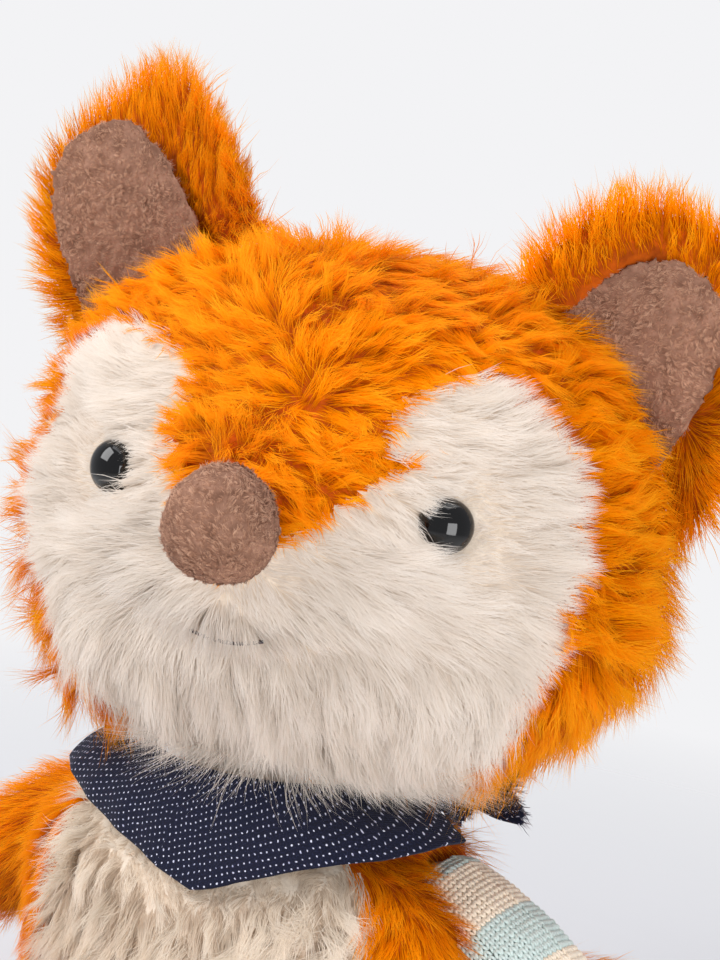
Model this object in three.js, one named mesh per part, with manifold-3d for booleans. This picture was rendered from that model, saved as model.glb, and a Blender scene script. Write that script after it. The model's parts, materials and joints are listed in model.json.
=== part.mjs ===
// A sitting plush fox, as stuffed and sewn pieces. Sizes are in millimetres, +Z is up,
// its body faces -Y, its left side is +X, and it looks a little to its left. The origin is on
// the flat seat face.
// Every furry form is drawn at the height that its pile has when it is pressed lightly.
import * as THREE from 'three';
import { mergeVertices } from 'three/addons/utils/BufferGeometryUtils.js';
import Module from 'manifold-3d';

const wasm = await Module();
wasm.setup();

// Fits between sewn pieces
const seamGap = 0.3;
const socketGap = 0.8;
const swingGap = 0.9;
const swingSteps = 2;
const cutOverrun = 40;
const weldShare = 0.001;
const middleShare = 0.5;

// Seat: how deep the floor flattens what lies on it
const floorPress = 0.5;

// Torso: a barrel that is widest at the hips, with a flattened seat
const torsoHeight = 104;
const torsoSeatHalfWidth = 50;
const torsoSeatRound = 5;
const torsoHipHalfWidth = 62;
const torsoHipHeight = 28;
const torsoChestHalfWidth = 60;
const torsoChestHeight = 64;
const torsoShoulderHalfWidth = 56;
const torsoShoulderHeight = 91;
const torsoHalfDepth = 50;
const torsoBellyForward = 5;
const torsoFullnessShare = 0.92;
const capFullnessShare = 0.8;

// Belly panel: the cream cloth sewn into the torso's front
const panelThickness = 5;
const bellyPanelHalfWidth = 52;
const bellyPanelRoundShare = 0.6;
const bellyPanelPoints = 44;
const bellyPanelBottom = 12;
const bellyPanelTop = 99;

// Neck: a short stuffed ball between the torso and the head
const neckRadius = 26;
const neckHeight = 112;
const neckForward = 6;

// Head
const headWidth = 160;
const headDepth = 112;
const headHeight = 129;
const headCentreHeight = 180;
const headForward = 8;
const headSide = 10;
const headTurn = 16;
const headFullnessShare = 0.8;
const cheekSwell = 5;
const cheekDrop = 22;
const cheekSpan = 30;
const muzzleReach = 19;
const muzzleHalfWidth = 25;
const muzzleHalfHeight = 21;
const muzzleDrop = 4;

// Face panel: points of its right half from the nose bridge to the chin, as shares of the
// head's half width and half height
const facePanelShares = [
  [0.1, 0.2], [0.25, 0.17], [0.34, 0.24], [0.3, 0.4], [0.37, 0.54], [0.55, 0.61], [0.74, 0.53],
  [0.86, 0.3], [0.9, 0], [0.88, -0.34], [0.76, -0.68], [0.48, -0.92],
];
const facePanelCurvePoints = 44;

// Nose: a stuffed ball sewn on the muzzle
const noseWidth = 25.5;
const noseHeight = 26;
const noseDepth = 25;
const noseRise = 2.5;
const noseSeatDepth = 7;
const noseFullnessShare = 0.12;

// Eyes: domed safety eyes, with a stem that a washer holds inside the head
const eyeDiameter = 13;
const eyeDomeHeight = 5;
const eyeRimHeight = 0.8;
const eyeSpacing = 83;
const eyeRise = 6;
const eyeTurn = THREE.MathUtils.degToRad(30);
const eyeSink = 1.5;
const stemDiameter = 4.6;
const stemLength = 15;
const stemTipDiameter = 3;
const stemTipLength = 2;
const washerDiameter = 15;
const washerThickness = 1.6;
const washerDepth = 9;
const eyeSides = 16;

// Ears: cupped leaves of fur cloth with a felted lining, the left one set lower
const earLeftWidth = 86;
const earRightWidth = 83;
const earLeftHeight = 75;
const earRightHeight = 79;
const earThickness = 9;
const earCupRadius = 42;
const earLeftRootSide = 49;
const earRightRootSide = 39;
const earRootBack = 3;
const earLeftRootHeight = 195;
const earRightRootHeight = 211;
const earLeftTurn = THREE.MathUtils.degToRad(12);
const earRightTurn = THREE.MathUtils.degToRad(14);
const earLeftLean = THREE.MathUtils.degToRad(30);
const earRightLean = THREE.MathUtils.degToRad(33);
const earWidestShare = 0.42;
const earRoundShare = 2.5;
const earRootShare = 0.25;
const earEdgeShare = 0.4;
const earLiningThickness = 2.4;
const earLiningInset = 8;
const earLiningShift = 10;
const earLiningStart = 9;
const earLiningLift = 1.4;

// Arms: the left one is the striped knitted tube, the right one is fur cloth
const shoulderSpacing = 100;
const shoulderBack = 8;
const shoulderHeight = 78;
const armRootRadius = 16;
const armHandRadius = 17;
const armSwell = 2.5;
const armLength = 68;
const armDroops = [THREE.MathUtils.degToRad(22), THREE.MathUtils.degToRad(14)];
const armBend = THREE.MathUtils.degToRad(34);
const armRaise = THREE.MathUtils.degToRad(35);

// Legs: stretched out in front, resting on the floor, with turned-up feet
const hipSpacing = 66;
const hipForward = 32;
const legRootRadius = 21;
const legFootRadius = 22.5;
const legSwell = -0.8;
const legLength = 64;
const legSplay = THREE.MathUtils.degToRad(20);
const legBend = THREE.MathUtils.degToRad(5);
const legLift = THREE.MathUtils.degToRad(30);

// Tail: lies on the floor behind and curls to the left
const tailBack = 40;
const tailRootRadius = 13;
const tailTipRadius = 8;
const tailSwell = 13;
const tailLength = 122;
const tailTurn = THREE.MathUtils.degToRad(62);
const tailBend = THREE.MathUtils.degToRad(-52);
const tailSway = THREE.MathUtils.degToRad(20);
const tailTipStart = 88;

// Neckerchief: a folded triangle of cloth, tied behind the left side of the neck
const clothThickness = 2.4;
const clothLift = 1.8;
const clothTopHalfWidth = 35;
const clothTopHalfDepth = 33;
const clothTopHeight = 110;
const clothTopFrontDrop = 2;
const clothBandHeight = 9;
const clothPointDrop = 15;
const clothPointCurveShare = 1.3;
const clothPointSpread = THREE.MathUtils.degToRad(62);
const clothForward = 8;
const clothFoldDepth = 1.4;
const clothFoldCount = 9;
const clothFoldSpread = THREE.MathUtils.degToRad(57);
const clothSteps = 48;
const clothRows = 4;
const knotAngle = THREE.MathUtils.degToRad(142);
const knotLift = 1;
const knotLength = 17;
const knotWidth = 13;
const knotPinch = 2.2;
const knotPinchShare = 0.5;
const endLength = 27;
const endWidth = 15;
const endThickness = 3.4;
const endRootShare = 0.45;
const endWaveShare = 0.5;
const endTurns = [THREE.MathUtils.degToRad(-8), THREE.MathUtils.degToRad(88)];
const endRises = [THREE.MathUtils.degToRad(10), THREE.MathUtils.degToRad(-30)];

// How finely the round forms are drawn
const bodyColumns = 26;
const bodyRows = 15;
const capRows = 3;
const headColumns = 30;
const headRows = 16;
const ballColumns = 18;
const ballRows = 10;
const limbSides = 14;
const limbSteps = 10;
const earColumns = 18;
const earRows = 10;
const smallColumns = 16;
const smallRows = 10;
const evenStepShare = 0.35;
const outlineSteps = 60;
const eyeDomeSteps = 5;

const orangePlush = new THREE.MeshStandardMaterial({ color: '#e87a0c', roughness: 0.95, metalness: 0 });
const creamPlush = new THREE.MeshStandardMaterial({ color: '#e6dacb', roughness: 0.95, metalness: 0 });
const brownFelt = new THREE.MeshStandardMaterial({ color: '#a37a62', roughness: 0.97, metalness: 0 });
const stripedKnit = new THREE.MeshStandardMaterial({ color: '#cdd2c2', roughness: 0.9, metalness: 0 });
const dottedChambray = new THREE.MeshStandardMaterial({ color: '#2b2d42', roughness: 0.9, metalness: 0 });
const blackPlastic = new THREE.MeshStandardMaterial({ color: '#08080a', roughness: 0.08, metalness: 0 });
const paleNylon = new THREE.MeshStandardMaterial({ color: '#d9d6cf', roughness: 0.5, metalness: 0 });

const leftAndRight = [['left', 1], ['right', -1]];

// A closed manifold solid from a three.js geometry
function solidOf(geometry) {
  const bare = geometry.clone();
  bare.deleteAttribute('normal');
  bare.deleteAttribute('uv');
  const merged = mergeVertices(bare, seamGap * weldShare);
  const triVerts = new Uint32Array(merged.index.array);
  const vertProperties = new Float32Array(merged.attributes.position.array);
  return new wasm.Manifold(new wasm.Mesh({ numProp: 3, vertProperties, triVerts }));
}

// A three.js geometry from a manifold solid
function geometryOf(solid) {
  const mesh = solid.getMesh();
  const geometry = new THREE.BufferGeometry();
  geometry.setAttribute('position', new THREE.BufferAttribute(new Float32Array(mesh.vertProperties), 3));
  geometry.setIndex(new THREE.BufferAttribute(new Uint32Array(mesh.triVerts), 1));
  geometry.computeVertexNormals();
  return geometry;
}

// A closed surface of rings between two poles; pointAt(around, along) takes 0 to 1 twice
function closedForm(columns, rows, pointAt) {
  const points = [pointAt(0, 0)];
  for (let row = 1; row < rows; row += 1) {
    for (let column = 0; column < columns; column += 1) {
      points.push(pointAt(column / columns, row / rows));
    }
  }
  points.push(pointAt(0, 1));
  const last = points.length - 1;
  const faces = [];
  const at = (row, column) => 1 + (row - 1) * columns + (column % columns);
  for (let column = 0; column < columns; column += 1) {
    faces.push([0, at(1, column + 1), at(1, column)]);
    faces.push([last, at(rows - 1, column), at(rows - 1, column + 1)]);
    for (let row = 1; row < rows - 1; row += 1) {
      faces.push([at(row, column), at(row, column + 1), at(row + 1, column)]);
      faces.push([at(row, column + 1), at(row + 1, column + 1), at(row + 1, column)]);
    }
  }
  return outwardGeometry(points, faces);
}

// The triangles as a geometry whose faces point out
function outwardGeometry(points, faces) {
  let volume = 0;
  for (const [a, b, c] of faces) {
    volume += points[a].dot(points[b].clone().cross(points[c]));
  }
  const turned = volume < 0 ? faces.map(([a, b, c]) => [a, c, b]) : faces;
  const geometry = new THREE.BufferGeometry().setFromPoints(points);
  geometry.setIndex(turned.flat());
  geometry.computeVertexNormals();
  return geometry;
}

// A power that keeps the sign, which fills out or hollows a round form
function fuller(value, share) {
  return Math.sign(value) * Math.abs(value) ** share;
}

// A smooth hump of height 1 that fades over the given span
function hump(distance, span) {
  return Math.exp(-((distance / span) ** 2));
}

function ball(radius, centre) {
  const geometry = new THREE.SphereGeometry(radius, ballColumns, ballRows);
  geometry.translate(centre.x, centre.y, centre.z);
  return solidOf(geometry);
}

// What lies under the floor
function underFloor(depth) {
  const width = 2 * (hipForward + legLength + tailLength + torsoHipHalfWidth);
  const geometry = new THREE.BoxGeometry(width, width, depth);
  geometry.translate(0, 0, -depth / 2);
  return solidOf(geometry);
}

// The torso's half width over its height, before it is grown or shrunk
const torsoOutline = new THREE.SplineCurve([
  new THREE.Vector2(torsoSeatHalfWidth, torsoSeatRound - floorPress),
  new THREE.Vector2(torsoHipHalfWidth, torsoHipHeight),
  new THREE.Vector2(torsoChestHalfWidth, torsoChestHeight),
  new THREE.Vector2(torsoShoulderHalfWidth, torsoShoulderHeight),
  new THREE.Vector2(neckRadius, torsoHeight),
]);

// A point on the torso's side at a share of its height, turned by angle from straight ahead
function torsoSidePoint(angle, heightShare, grow) {
  const outline = torsoOutline.getPoint(heightShare);
  const halfWidth = outline.x + grow;
  const depthShare = torsoHalfDepth / torsoHipHalfWidth;
  const x = halfWidth * fuller(Math.sin(angle), torsoFullnessShare);
  const halfDepth = outline.x * depthShare + grow;
  const belly = torsoBellyForward * hump(outline.y - torsoChestHeight / 2, torsoChestHeight / 2);
  const forward = halfDepth * fuller(Math.cos(angle), torsoFullnessShare);
  return new THREE.Vector3(x, -forward - (forward > 0 ? belly : 0), outline.y);
}

// The whole torso: its side, closed below by a flat seat with a rounded rim and above by a low crown
function torsoForm(grow) {
  return closedForm(bodyColumns, bodyRows, (around, along) => {
    const row = along * bodyRows;
    const sideShare = THREE.MathUtils.clamp((row - capRows) / (bodyRows - 2 * capRows), 0, 1);
    const point = torsoSidePoint(around * 2 * Math.PI, sideShare, grow);
    const inset = Math.max(0, capRows - row, row - bodyRows + capRows) / capRows;
    const opening = (1 - inset) * Math.PI / 2;
    const spread = Math.sin(opening) ** capFullnessShare;
    const depth = (torsoSeatRound + grow) * (1 - (1 - Math.cos(opening)) ** 2);
    point.x *= spread;
    point.y *= spread;
    point.z += sideShare > middleShare ? depth : -depth;
    return point;
  });
}

const headCentre = new THREE.Vector3(headSide, -headForward, headCentreHeight);

// A point of the head in a direction, with its cheeks and muzzle
function headPoint(around, along, grow) {
  const angle = around * 2 * Math.PI;
  const rise = (along - middleShare) * Math.PI;
  const girth = fuller(Math.cos(rise), headFullnessShare);
  const z = (headHeight / 2 + grow) * fuller(Math.sin(rise), headFullnessShare);
  const cheek = cheekSwell * hump(z + cheekDrop, cheekSpan);
  const x = (headWidth / 2 + grow + cheek) * girth * Math.sin(angle);
  const front = Math.cos(angle);
  const muzzle = hump(x, muzzleHalfWidth) * hump(z + muzzleDrop, muzzleHalfHeight);
  const reach = front > 0 ? muzzleReach * muzzle : 0;
  const jowl = front > 0 ? cheek * girth * front : 0;
  const y = -(headDepth / 2 + grow) * girth * front - reach * girth - jowl;
  return new THREE.Vector3(x, y, z).add(headCentre);
}

function headForm(grow) {
  return solidOf(closedForm(headColumns, headRows, (around, along) => headPoint(around, along, grow)));
}

// A prism along Y through a mirrored outline, open towards the front of its centre plane
function frontPrism(shape, nearY, farY) {
  const geometry = new THREE.ExtrudeGeometry(shape, { depth: nearY - farY, bevelEnabled: false });
  geometry.rotateX(Math.PI / 2);
  geometry.translate(0, nearY, 0);
  return solidOf(geometry);
}

// A panel sewn into a form: its own shell, and the form with the panel's room taken out
function sewnPanel(form, prism, prismGrown) {
  const whole = form(0);
  return {
    panel: whole.intersect(prism).subtract(form(-panelThickness)),
    rest: whole.subtract(prismGrown.subtract(form(-panelThickness - seamGap))),
  };
}

// A bent stuffed limb from its joint to its rounded end. along and across span its plane.
function limbForm(limb, grow) {
  const { joint, along, across, rootRadius, endRadius, swell, length, start, bend } = limb;
  const normal = along.clone().cross(across).normalize();
  const arcRadius = length / bend;
  return closedForm(limbSides, limbSteps, (around, share) => {
    const span = rootRadius + length + endRadius + 2 * grow;
    const eased = (1 - Math.cos(share * Math.PI)) / 2;
    const place = -rootRadius - grow + span * THREE.MathUtils.lerp(eased, share, evenStepShare);
    const onLine = THREE.MathUtils.clamp(place, 0, length);
    const angle = start + bend * onLine / length;
    const rest = place - onLine;
    const run = arcRadius * (Math.sin(angle) - Math.sin(start)) + rest * Math.cos(angle);
    const rise = arcRadius * (Math.cos(start) - Math.cos(angle)) + rest * Math.sin(angle);
    const lineShare = onLine / length;
    const taper = (endRadius - rootRadius) * lineShare;
    const girth = rootRadius + taper + swell * Math.sin(Math.PI * lineShare) + grow;
    const cap = Math.min(1, Math.abs(rest) / girth);
    const radius = share === 0 || share === 1 ? 0 : girth * Math.sqrt(1 - cap ** 2);
    const turn = around * 2 * Math.PI;
    const centre = joint.clone().addScaledVector(along, run).addScaledVector(across, rise);
    const side = along.clone().multiplyScalar(-Math.sin(angle)).addScaledVector(across, Math.cos(angle));
    centre.addScaledVector(side, radius * Math.cos(turn));
    return centre.addScaledVector(normal, radius * Math.sin(turn));
  });
}

function limbSolid(limb) {
  return solidOf(limbForm(limb, 0));
}

// The room that a limb needs while it turns about its joint from one angle to the other
function limbRoom(limb, axis, from, to) {
  const cutters = Array.from({ length: swingSteps + 1 }, (unused, step) => {
    const angle = THREE.MathUtils.lerp(from, to, step / swingSteps);
    const geometry = limbForm(limb, swingGap);
    geometry.translate(-limb.joint.x, -limb.joint.y, -limb.joint.z);
    geometry.applyMatrix4(new THREE.Matrix4().makeRotationAxis(axis, angle));
    geometry.translate(limb.joint.x, limb.joint.y, limb.joint.z);
    return solidOf(geometry);
  });
  return cutters.reduce((all, next) => all.add(next));
}

const up = new THREE.Vector3(0, 0, 1);
const ahead = new THREE.Vector3(0, -1, 0);

function armLimb(side, droop) {
  return {
    joint: new THREE.Vector3(side * shoulderSpacing / 2, shoulderBack, shoulderHeight),
    along: new THREE.Vector3(side, 0, 0),
    across: up,
    rootRadius: armRootRadius,
    endRadius: armHandRadius,
    swell: armSwell,
    length: armLength,
    start: -droop,
    bend: -armBend,
  };
}

function legLimb(side) {
  return {
    joint: new THREE.Vector3(side * hipSpacing / 2, -hipForward, legRootRadius - floorPress),
    along: new THREE.Vector3(side * Math.sin(legSplay), -Math.cos(legSplay), 0),
    across: up,
    rootRadius: legRootRadius,
    endRadius: legFootRadius,
    swell: legSwell,
    length: legLength,
    start: 0,
    bend: legBend,
  };
}

// The tail's fullest stretch lies on the floor
const tailHeight = (tailRootRadius + tailTipRadius) / 2 + tailSwell - floorPress;
const tailLimb = {
  joint: new THREE.Vector3(0, tailBack, tailHeight),
  along: new THREE.Vector3(Math.sin(tailTurn), Math.cos(tailTurn), 0),
  across: new THREE.Vector3(-Math.cos(tailTurn), Math.sin(tailTurn), 0),
  rootRadius: tailRootRadius,
  endRadius: tailTipRadius,
  swell: tailSwell,
  length: tailLength,
  start: 0,
  bend: -tailBend,
};

const group = new THREE.Group();
const neckCentre = new THREE.Vector3(0, -neckForward, neckHeight);

function addPiece(name, solid, material) {
  const mesh = new THREE.Mesh(geometryOf(solid), material);
  mesh.name = name;
  group.add(mesh);
}

// A piece of the head, which is turned about the neck's upright axis
function addHeadPiece(name, solid, material) {
  const turned = solid.translate(neckCentre.clone().negate().toArray()).rotate([0, 0, headTurn]);
  addPiece(name, turned.translate(neckCentre.toArray()), material);
}

const floorCut = underFloor(cutOverrun);
const neckSocket = ball(neckRadius + socketGap, neckCentre);

// Arms, legs and the room that the torso leaves for them
let limbCuts = neckSocket;
for (const [index, [sideName, side]] of leftAndRight.entries()) {
  const arm = armLimb(side, armDroops[index]);
  const raiseAxis = new THREE.Vector3(0, -side, 0);
  limbCuts = limbCuts.add(limbRoom(arm, raiseAxis, 0, armRaise));
  addPiece(`arm_${sideName}`, limbSolid(arm), side > 0 ? stripedKnit : orangePlush);
  const leg = legLimb(side);
  const liftAxis = leg.along.clone().cross(up).normalize();
  limbCuts = limbCuts.add(limbRoom(leg, liftAxis, 0, legLift));
  addPiece(`leg_${sideName}`, limbSolid(leg).subtract(floorCut), orangePlush);
}
limbCuts = limbCuts.add(limbRoom(tailLimb, up, -tailSway, tailSway));

// Tail, whose end is a separate piece of cream cloth
const tailWhole = limbSolid(tailLimb).subtract(floorCut);
const tailSeamAngle = tailLimb.bend * tailTipStart / tailLength;
const tailArc = tailLength / tailLimb.bend;
const tailSeam = tailLimb.joint.clone()
  .addScaledVector(tailLimb.along, tailArc * Math.sin(tailSeamAngle))
  .addScaledVector(tailLimb.across, tailArc * (1 - Math.cos(tailSeamAngle)));
const tailSeamDirection = tailLimb.along.clone().multiplyScalar(Math.cos(tailSeamAngle))
  .addScaledVector(tailLimb.across, Math.sin(tailSeamAngle));

// Everything of the tail that lies beyond the seam by more than the offset
function beyondTailSeam(offset) {
  const reach = 2 * tailLength;
  const geometry = new THREE.BoxGeometry(reach, reach, reach);
  geometry.translate(reach / 2 + offset, 0, 0);
  geometry.rotateZ(Math.atan2(tailSeamDirection.y, tailSeamDirection.x));
  geometry.translate(tailSeam.x, tailSeam.y, tailSeam.z);
  return solidOf(geometry);
}
addPiece('tail', tailWhole.subtract(beyondTailSeam(-seamGap / 2)), orangePlush);
addPiece('tail_tip', tailWhole.intersect(beyondTailSeam(seamGap / 2)), creamPlush);

// An outline that runs clockwise, moved out along its own normals
function grownOutline(points, grow) {
  return points.map((point, index) => {
    const before = points[(index + points.length - 1) % points.length];
    const after = points[(index + 1) % points.length];
    const run = after.clone().sub(before).normalize();
    return new THREE.Vector2(point.x - run.y * grow, point.y + run.x * grow);
  });
}

// Torso with its belly panel
const bellyHalfHeight = (bellyPanelTop - bellyPanelBottom) / 2;

function bellyShape(grow) {
  const points = Array.from({ length: bellyPanelPoints }, (unused, index) => {
    const turn = index / bellyPanelPoints * 2 * Math.PI;
    const across = bellyPanelHalfWidth * fuller(Math.sin(turn), bellyPanelRoundShare);
    const rise = bellyHalfHeight * fuller(Math.cos(turn), bellyPanelRoundShare);
    return new THREE.Vector2(across, bellyPanelBottom + bellyHalfHeight + rise);
  });
  return new THREE.Shape(grownOutline(points, grow));
}
const torsoBody = (grow) => solidOf(torsoForm(grow));
const torsoReach = torsoHalfDepth + torsoBellyForward + cutOverrun;
const bellyPrism = frontPrism(bellyShape(0), 0, -torsoReach);
const bellyPrismGrown = frontPrism(bellyShape(seamGap), 0, -torsoReach);
const torsoSewn = sewnPanel(torsoBody, bellyPrism, bellyPrismGrown);
addPiece('torso', torsoSewn.rest.subtract(limbCuts).subtract(floorCut), orangePlush);
addPiece('belly_panel', torsoSewn.panel.subtract(limbCuts), creamPlush);

// Neck
addPiece('neck', ball(neckRadius, neckCentre), orangePlush);

// Face panel outline, mirrored about the middle of the face
function faceShape(grow) {
  const halfWidth = headWidth / 2;
  const halfHeight = headHeight / 2;
  const halfOutline = (side) => facePanelShares.map(([across, rise]) => {
    return new THREE.Vector2(headSide + side * across * halfWidth, headCentreHeight + rise * halfHeight);
  });
  const half = halfOutline(1);
  const mirrored = halfOutline(-1).reverse();
  const curve = new THREE.SplineCurve([...half, ...mirrored]);
  return new THREE.Shape(grownOutline(curve.getPoints(facePanelCurvePoints), grow));
}

// Nose: egg-shaped, fuller at the bottom
const muzzleTip = headPoint(0, middleShare, 0);
const noseForward = muzzleTip.y - noseDepth / 2 + noseSeatDepth;
const noseCentre = new THREE.Vector3(headSide, noseForward, headCentreHeight + noseRise);

function noseForm(grow) {
  return solidOf(closedForm(smallColumns, smallRows, (around, along) => {
    const angle = around * 2 * Math.PI;
    const rise = (along - middleShare) * Math.PI;
    const bottomShare = 1 - noseFullnessShare * Math.sin(rise);
    const x = (noseWidth / 2 + grow) * Math.cos(rise) * Math.sin(angle) * bottomShare;
    const y = (noseDepth / 2 + grow) * Math.cos(rise) * Math.cos(angle);
    return new THREE.Vector3(x, y, (noseHeight / 2 + grow) * Math.sin(rise)).add(noseCentre);
  }));
}

// The parts of an eye are turned about its own axis, which points out of the face
function eyeLathe(profile, side) {
  const geometry = new THREE.LatheGeometry(profile, eyeSides);
  geometry.rotateZ(Math.PI + side * eyeTurn);
  const seat = eyeSeat(side);
  geometry.translate(seat.x, seat.y, seat.z);
  return solidOf(geometry);
}

// Where the eye's axis meets the face, sunk by the depth that the pile hides
function eyeSeat(side) {
  const rise = Math.asin(fuller(2 * eyeRise / headHeight, 1 / headFullnessShare));
  const cheek = cheekSwell * hump(eyeRise + cheekDrop, cheekSpan);
  const halfWidth = (headWidth / 2 + cheek) * fuller(Math.cos(rise), headFullnessShare);
  const angle = Math.asin(eyeSpacing / 2 / halfWidth);
  const surface = headPoint(angle / (2 * Math.PI), middleShare + rise / Math.PI, 0);
  const outward = new THREE.Vector3(side * Math.sin(eyeTurn), -Math.cos(eyeTurn), 0);
  const place = surface.sub(headCentre);
  place.x *= side;
  return place.add(headCentre).addScaledVector(outward, -eyeSink);
}

// A half section of a disc or pin, from its lower to its upper height on the eye's axis
function pinProfile(radius, low, high) {
  return [
    new THREE.Vector2(0, low),
    new THREE.Vector2(radius, low),
    new THREE.Vector2(radius, high),
    new THREE.Vector2(0, high),
  ];
}

function eyeProfile() {
  const radius = eyeDiameter / 2;
  const profile = [
    new THREE.Vector2(0, -stemLength - stemTipLength),
    new THREE.Vector2(stemTipDiameter / 2, -stemLength - stemTipLength),
    new THREE.Vector2(stemDiameter / 2, -stemLength),
    new THREE.Vector2(stemDiameter / 2, 0),
    new THREE.Vector2(radius, 0),
  ];
  for (let step = 0; step < eyeDomeSteps; step += 1) {
    const angle = step / eyeDomeSteps * Math.PI / 2;
    const rise = eyeRimHeight + eyeDomeHeight * Math.sin(angle);
    profile.push(new THREE.Vector2(radius * Math.cos(angle), rise));
  }
  profile.push(new THREE.Vector2(0, eyeRimHeight + eyeDomeHeight));
  return profile;
}

// Washer: a ring round the stem, from the same sizes as the pocket that holds it
function washerProfile() {
  const bore = stemDiameter / 2 + seamGap;
  return [
    new THREE.Vector2(bore, -washerDepth - washerThickness),
    new THREE.Vector2(washerDiameter / 2, -washerDepth - washerThickness),
    new THREE.Vector2(washerDiameter / 2, -washerDepth),
    new THREE.Vector2(bore, -washerDepth),
    new THREE.Vector2(bore, -washerDepth - washerThickness),
  ];
}

// The room for one eye: its seat on the face, its stem and its washer's pocket
function eyeRoom(side) {
  const stemRoom = pinProfile(stemDiameter / 2 + seamGap, -stemLength - stemTipLength - seamGap, seamGap);
  const seatRoom = pinProfile(eyeDiameter / 2 + seamGap, -seamGap, cutOverrun);
  const pocketRadius = washerDiameter / 2 + seamGap;
  const pocket = pinProfile(pocketRadius, -washerDepth - washerThickness - seamGap, -washerDepth + seamGap);
  return eyeLathe(stemRoom, side).add(eyeLathe(seatRoom, side)).add(eyeLathe(pocket, side));
}

// Head with its face panel, nose and eyes
const headReach = headDepth / 2 + muzzleReach + headForward + cutOverrun;
const facePrism = frontPrism(faceShape(0), -headForward, -headReach);
const facePrismGrown = frontPrism(faceShape(seamGap), -headForward, -headReach);
const headSewn = sewnPanel(headForm, facePrism, facePrismGrown);
let headCuts = neckSocket.add(noseForm(seamGap));
for (const [sideName, side] of leftAndRight) {
  headCuts = headCuts.add(eyeRoom(side));
  addHeadPiece(`eye_${sideName}`, eyeLathe(eyeProfile(), side), blackPlastic);
  addHeadPiece(`eye_washer_${sideName}`, eyeLathe(washerProfile(), side), paleNylon);
}
addHeadPiece('head', headSewn.rest.subtract(headCuts), orangePlush);
addHeadPiece('face_panel', headSewn.panel.subtract(headCuts), creamPlush);
addHeadPiece('nose', noseForm(0), brownFelt);

// One layer of an ear: a leaf that is cupped about its own length, offset along the cup's radius
function earLeaf(layer) {
  const { width, height, thickness, offset, start, shift } = layer;
  return closedForm(earColumns, earRows, (around, along) => {
    const turn = around * 2 * Math.PI;
    const rise = (1 - Math.cos(along * Math.PI)) / 2;
    const fromWidest = rise > earWidestShare
      ? (rise - earWidestShare) / (1 - earWidestShare)
      : (earWidestShare - rise) / (earWidestShare + earRootShare);
    const open = along > 0 && along < 1 ? 1 : 0;
    const halfWidth = open * width / 2 * Math.max(0, 1 - fromWidest ** earRoundShare) ** (1 / earRoundShare);
    const halfThickness = open * thickness / 2 * Math.abs(Math.sin(Math.PI * along)) ** earEdgeShare;
    const radius = earCupRadius + offset + halfThickness * Math.sin(turn);
    const across = shift + halfWidth * fuller(Math.cos(turn), earEdgeShare * 2);
    const angle = across / earCupRadius;
    const back = radius * Math.cos(angle) - earCupRadius;
    return new THREE.Vector3(radius * Math.sin(angle), back, start + rise * height);
  });
}

// Ears sit on the head's upper corners, cut to its form
const headRoom = headForm(seamGap);
const earSettings = [
  [earLeftWidth, earLeftHeight, earLeftRootSide, earLeftRootHeight, earLeftTurn, earLeftLean],
  [earRightWidth, earRightHeight, earRightRootSide, earRightRootHeight, earRightTurn, earRightLean],
];
for (const [index, [sideName, side]] of leftAndRight.entries()) {
  const [width, height, rootSide, rootHeight, turn, lean] = earSettings[index];
  const place = new THREE.Matrix4()
    .makeTranslation(headSide + side * rootSide, earRootBack, rootHeight)
    .multiply(new THREE.Matrix4().makeRotationY(side * lean))
    .multiply(new THREE.Matrix4().makeRotationZ(side * turn));
  const outer = earLeaf({
    width,
    height,
    thickness: earThickness,
    offset: 0,
    start: 0,
    shift: 0,
  });
  const lining = earLeaf({
    width: width - 2 * earLiningInset - 2 * earLiningShift,
    height: height - earLiningStart - earLiningInset,
    thickness: earLiningThickness,
    offset: -earThickness / 2 - earLiningLift - earLiningThickness / 2,
    start: earLiningStart,
    shift: side * earLiningShift,
  });
  outer.applyMatrix4(place);
  lining.applyMatrix4(place);
  addHeadPiece(`ear_${sideName}`, solidOf(outer).subtract(headRoom), orangePlush);
  addHeadPiece(`ear_lining_${sideName}`, solidOf(lining).subtract(headRoom), brownFelt);
}

// Neckerchief: how far its lower edge hangs at an angle from straight ahead
function clothDrop(angle) {
  const spread = Math.min(1, Math.abs(Math.atan2(Math.sin(angle), Math.cos(angle))) / clothPointSpread);
  return clothBandHeight + clothPointDrop * (1 - spread) ** clothPointCurveShare;
}

// A point on the cloth's outer or inner face: it leaves the neck and lies down on the torso
function clothPoint(angle, share, lift) {
  const top = new THREE.Vector3(
    clothTopHalfWidth * Math.sin(angle),
    -clothForward - clothTopHalfDepth * Math.cos(angle),
    clothTopHeight - clothTopFrontDrop * Math.cos(angle),
  );
  const height = clothTopHeight - clothDrop(angle) * share;
  const torsoShare = THREE.MathUtils.clamp(torsoShareAt(height), 0, 1);
  const side = torsoSidePoint(angle, torsoShare, clothLift);
  const lean = Math.sin(Math.min(1, share) * Math.PI / 2);
  const point = top.clone().lerp(new THREE.Vector3(side.x, side.y, height), lean);
  point.z = top.z - (top.z - height) * share;
  const outward = new THREE.Vector3(Math.sin(angle), -Math.cos(angle), 0);
  const fromKnot = angle - knotAngle;
  const foldShare = hump(fromKnot, clothFoldSpread) - hump(fromKnot, clothFoldSpread / 3);
  const fold = clothFoldDepth * (1 + Math.cos(angle * clothFoldCount)) * foldShare;
  return point.addScaledVector(outward, lift + fold);
}

// The share along the torso's outline that has the given height
function torsoShareAt(height) {
  for (let step = 0; step <= outlineSteps; step += 1) {
    if (torsoOutline.getPoint(step / outlineSteps).y >= height) {
      return step / outlineSteps;
    }
  }
  return 1;
}

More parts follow.
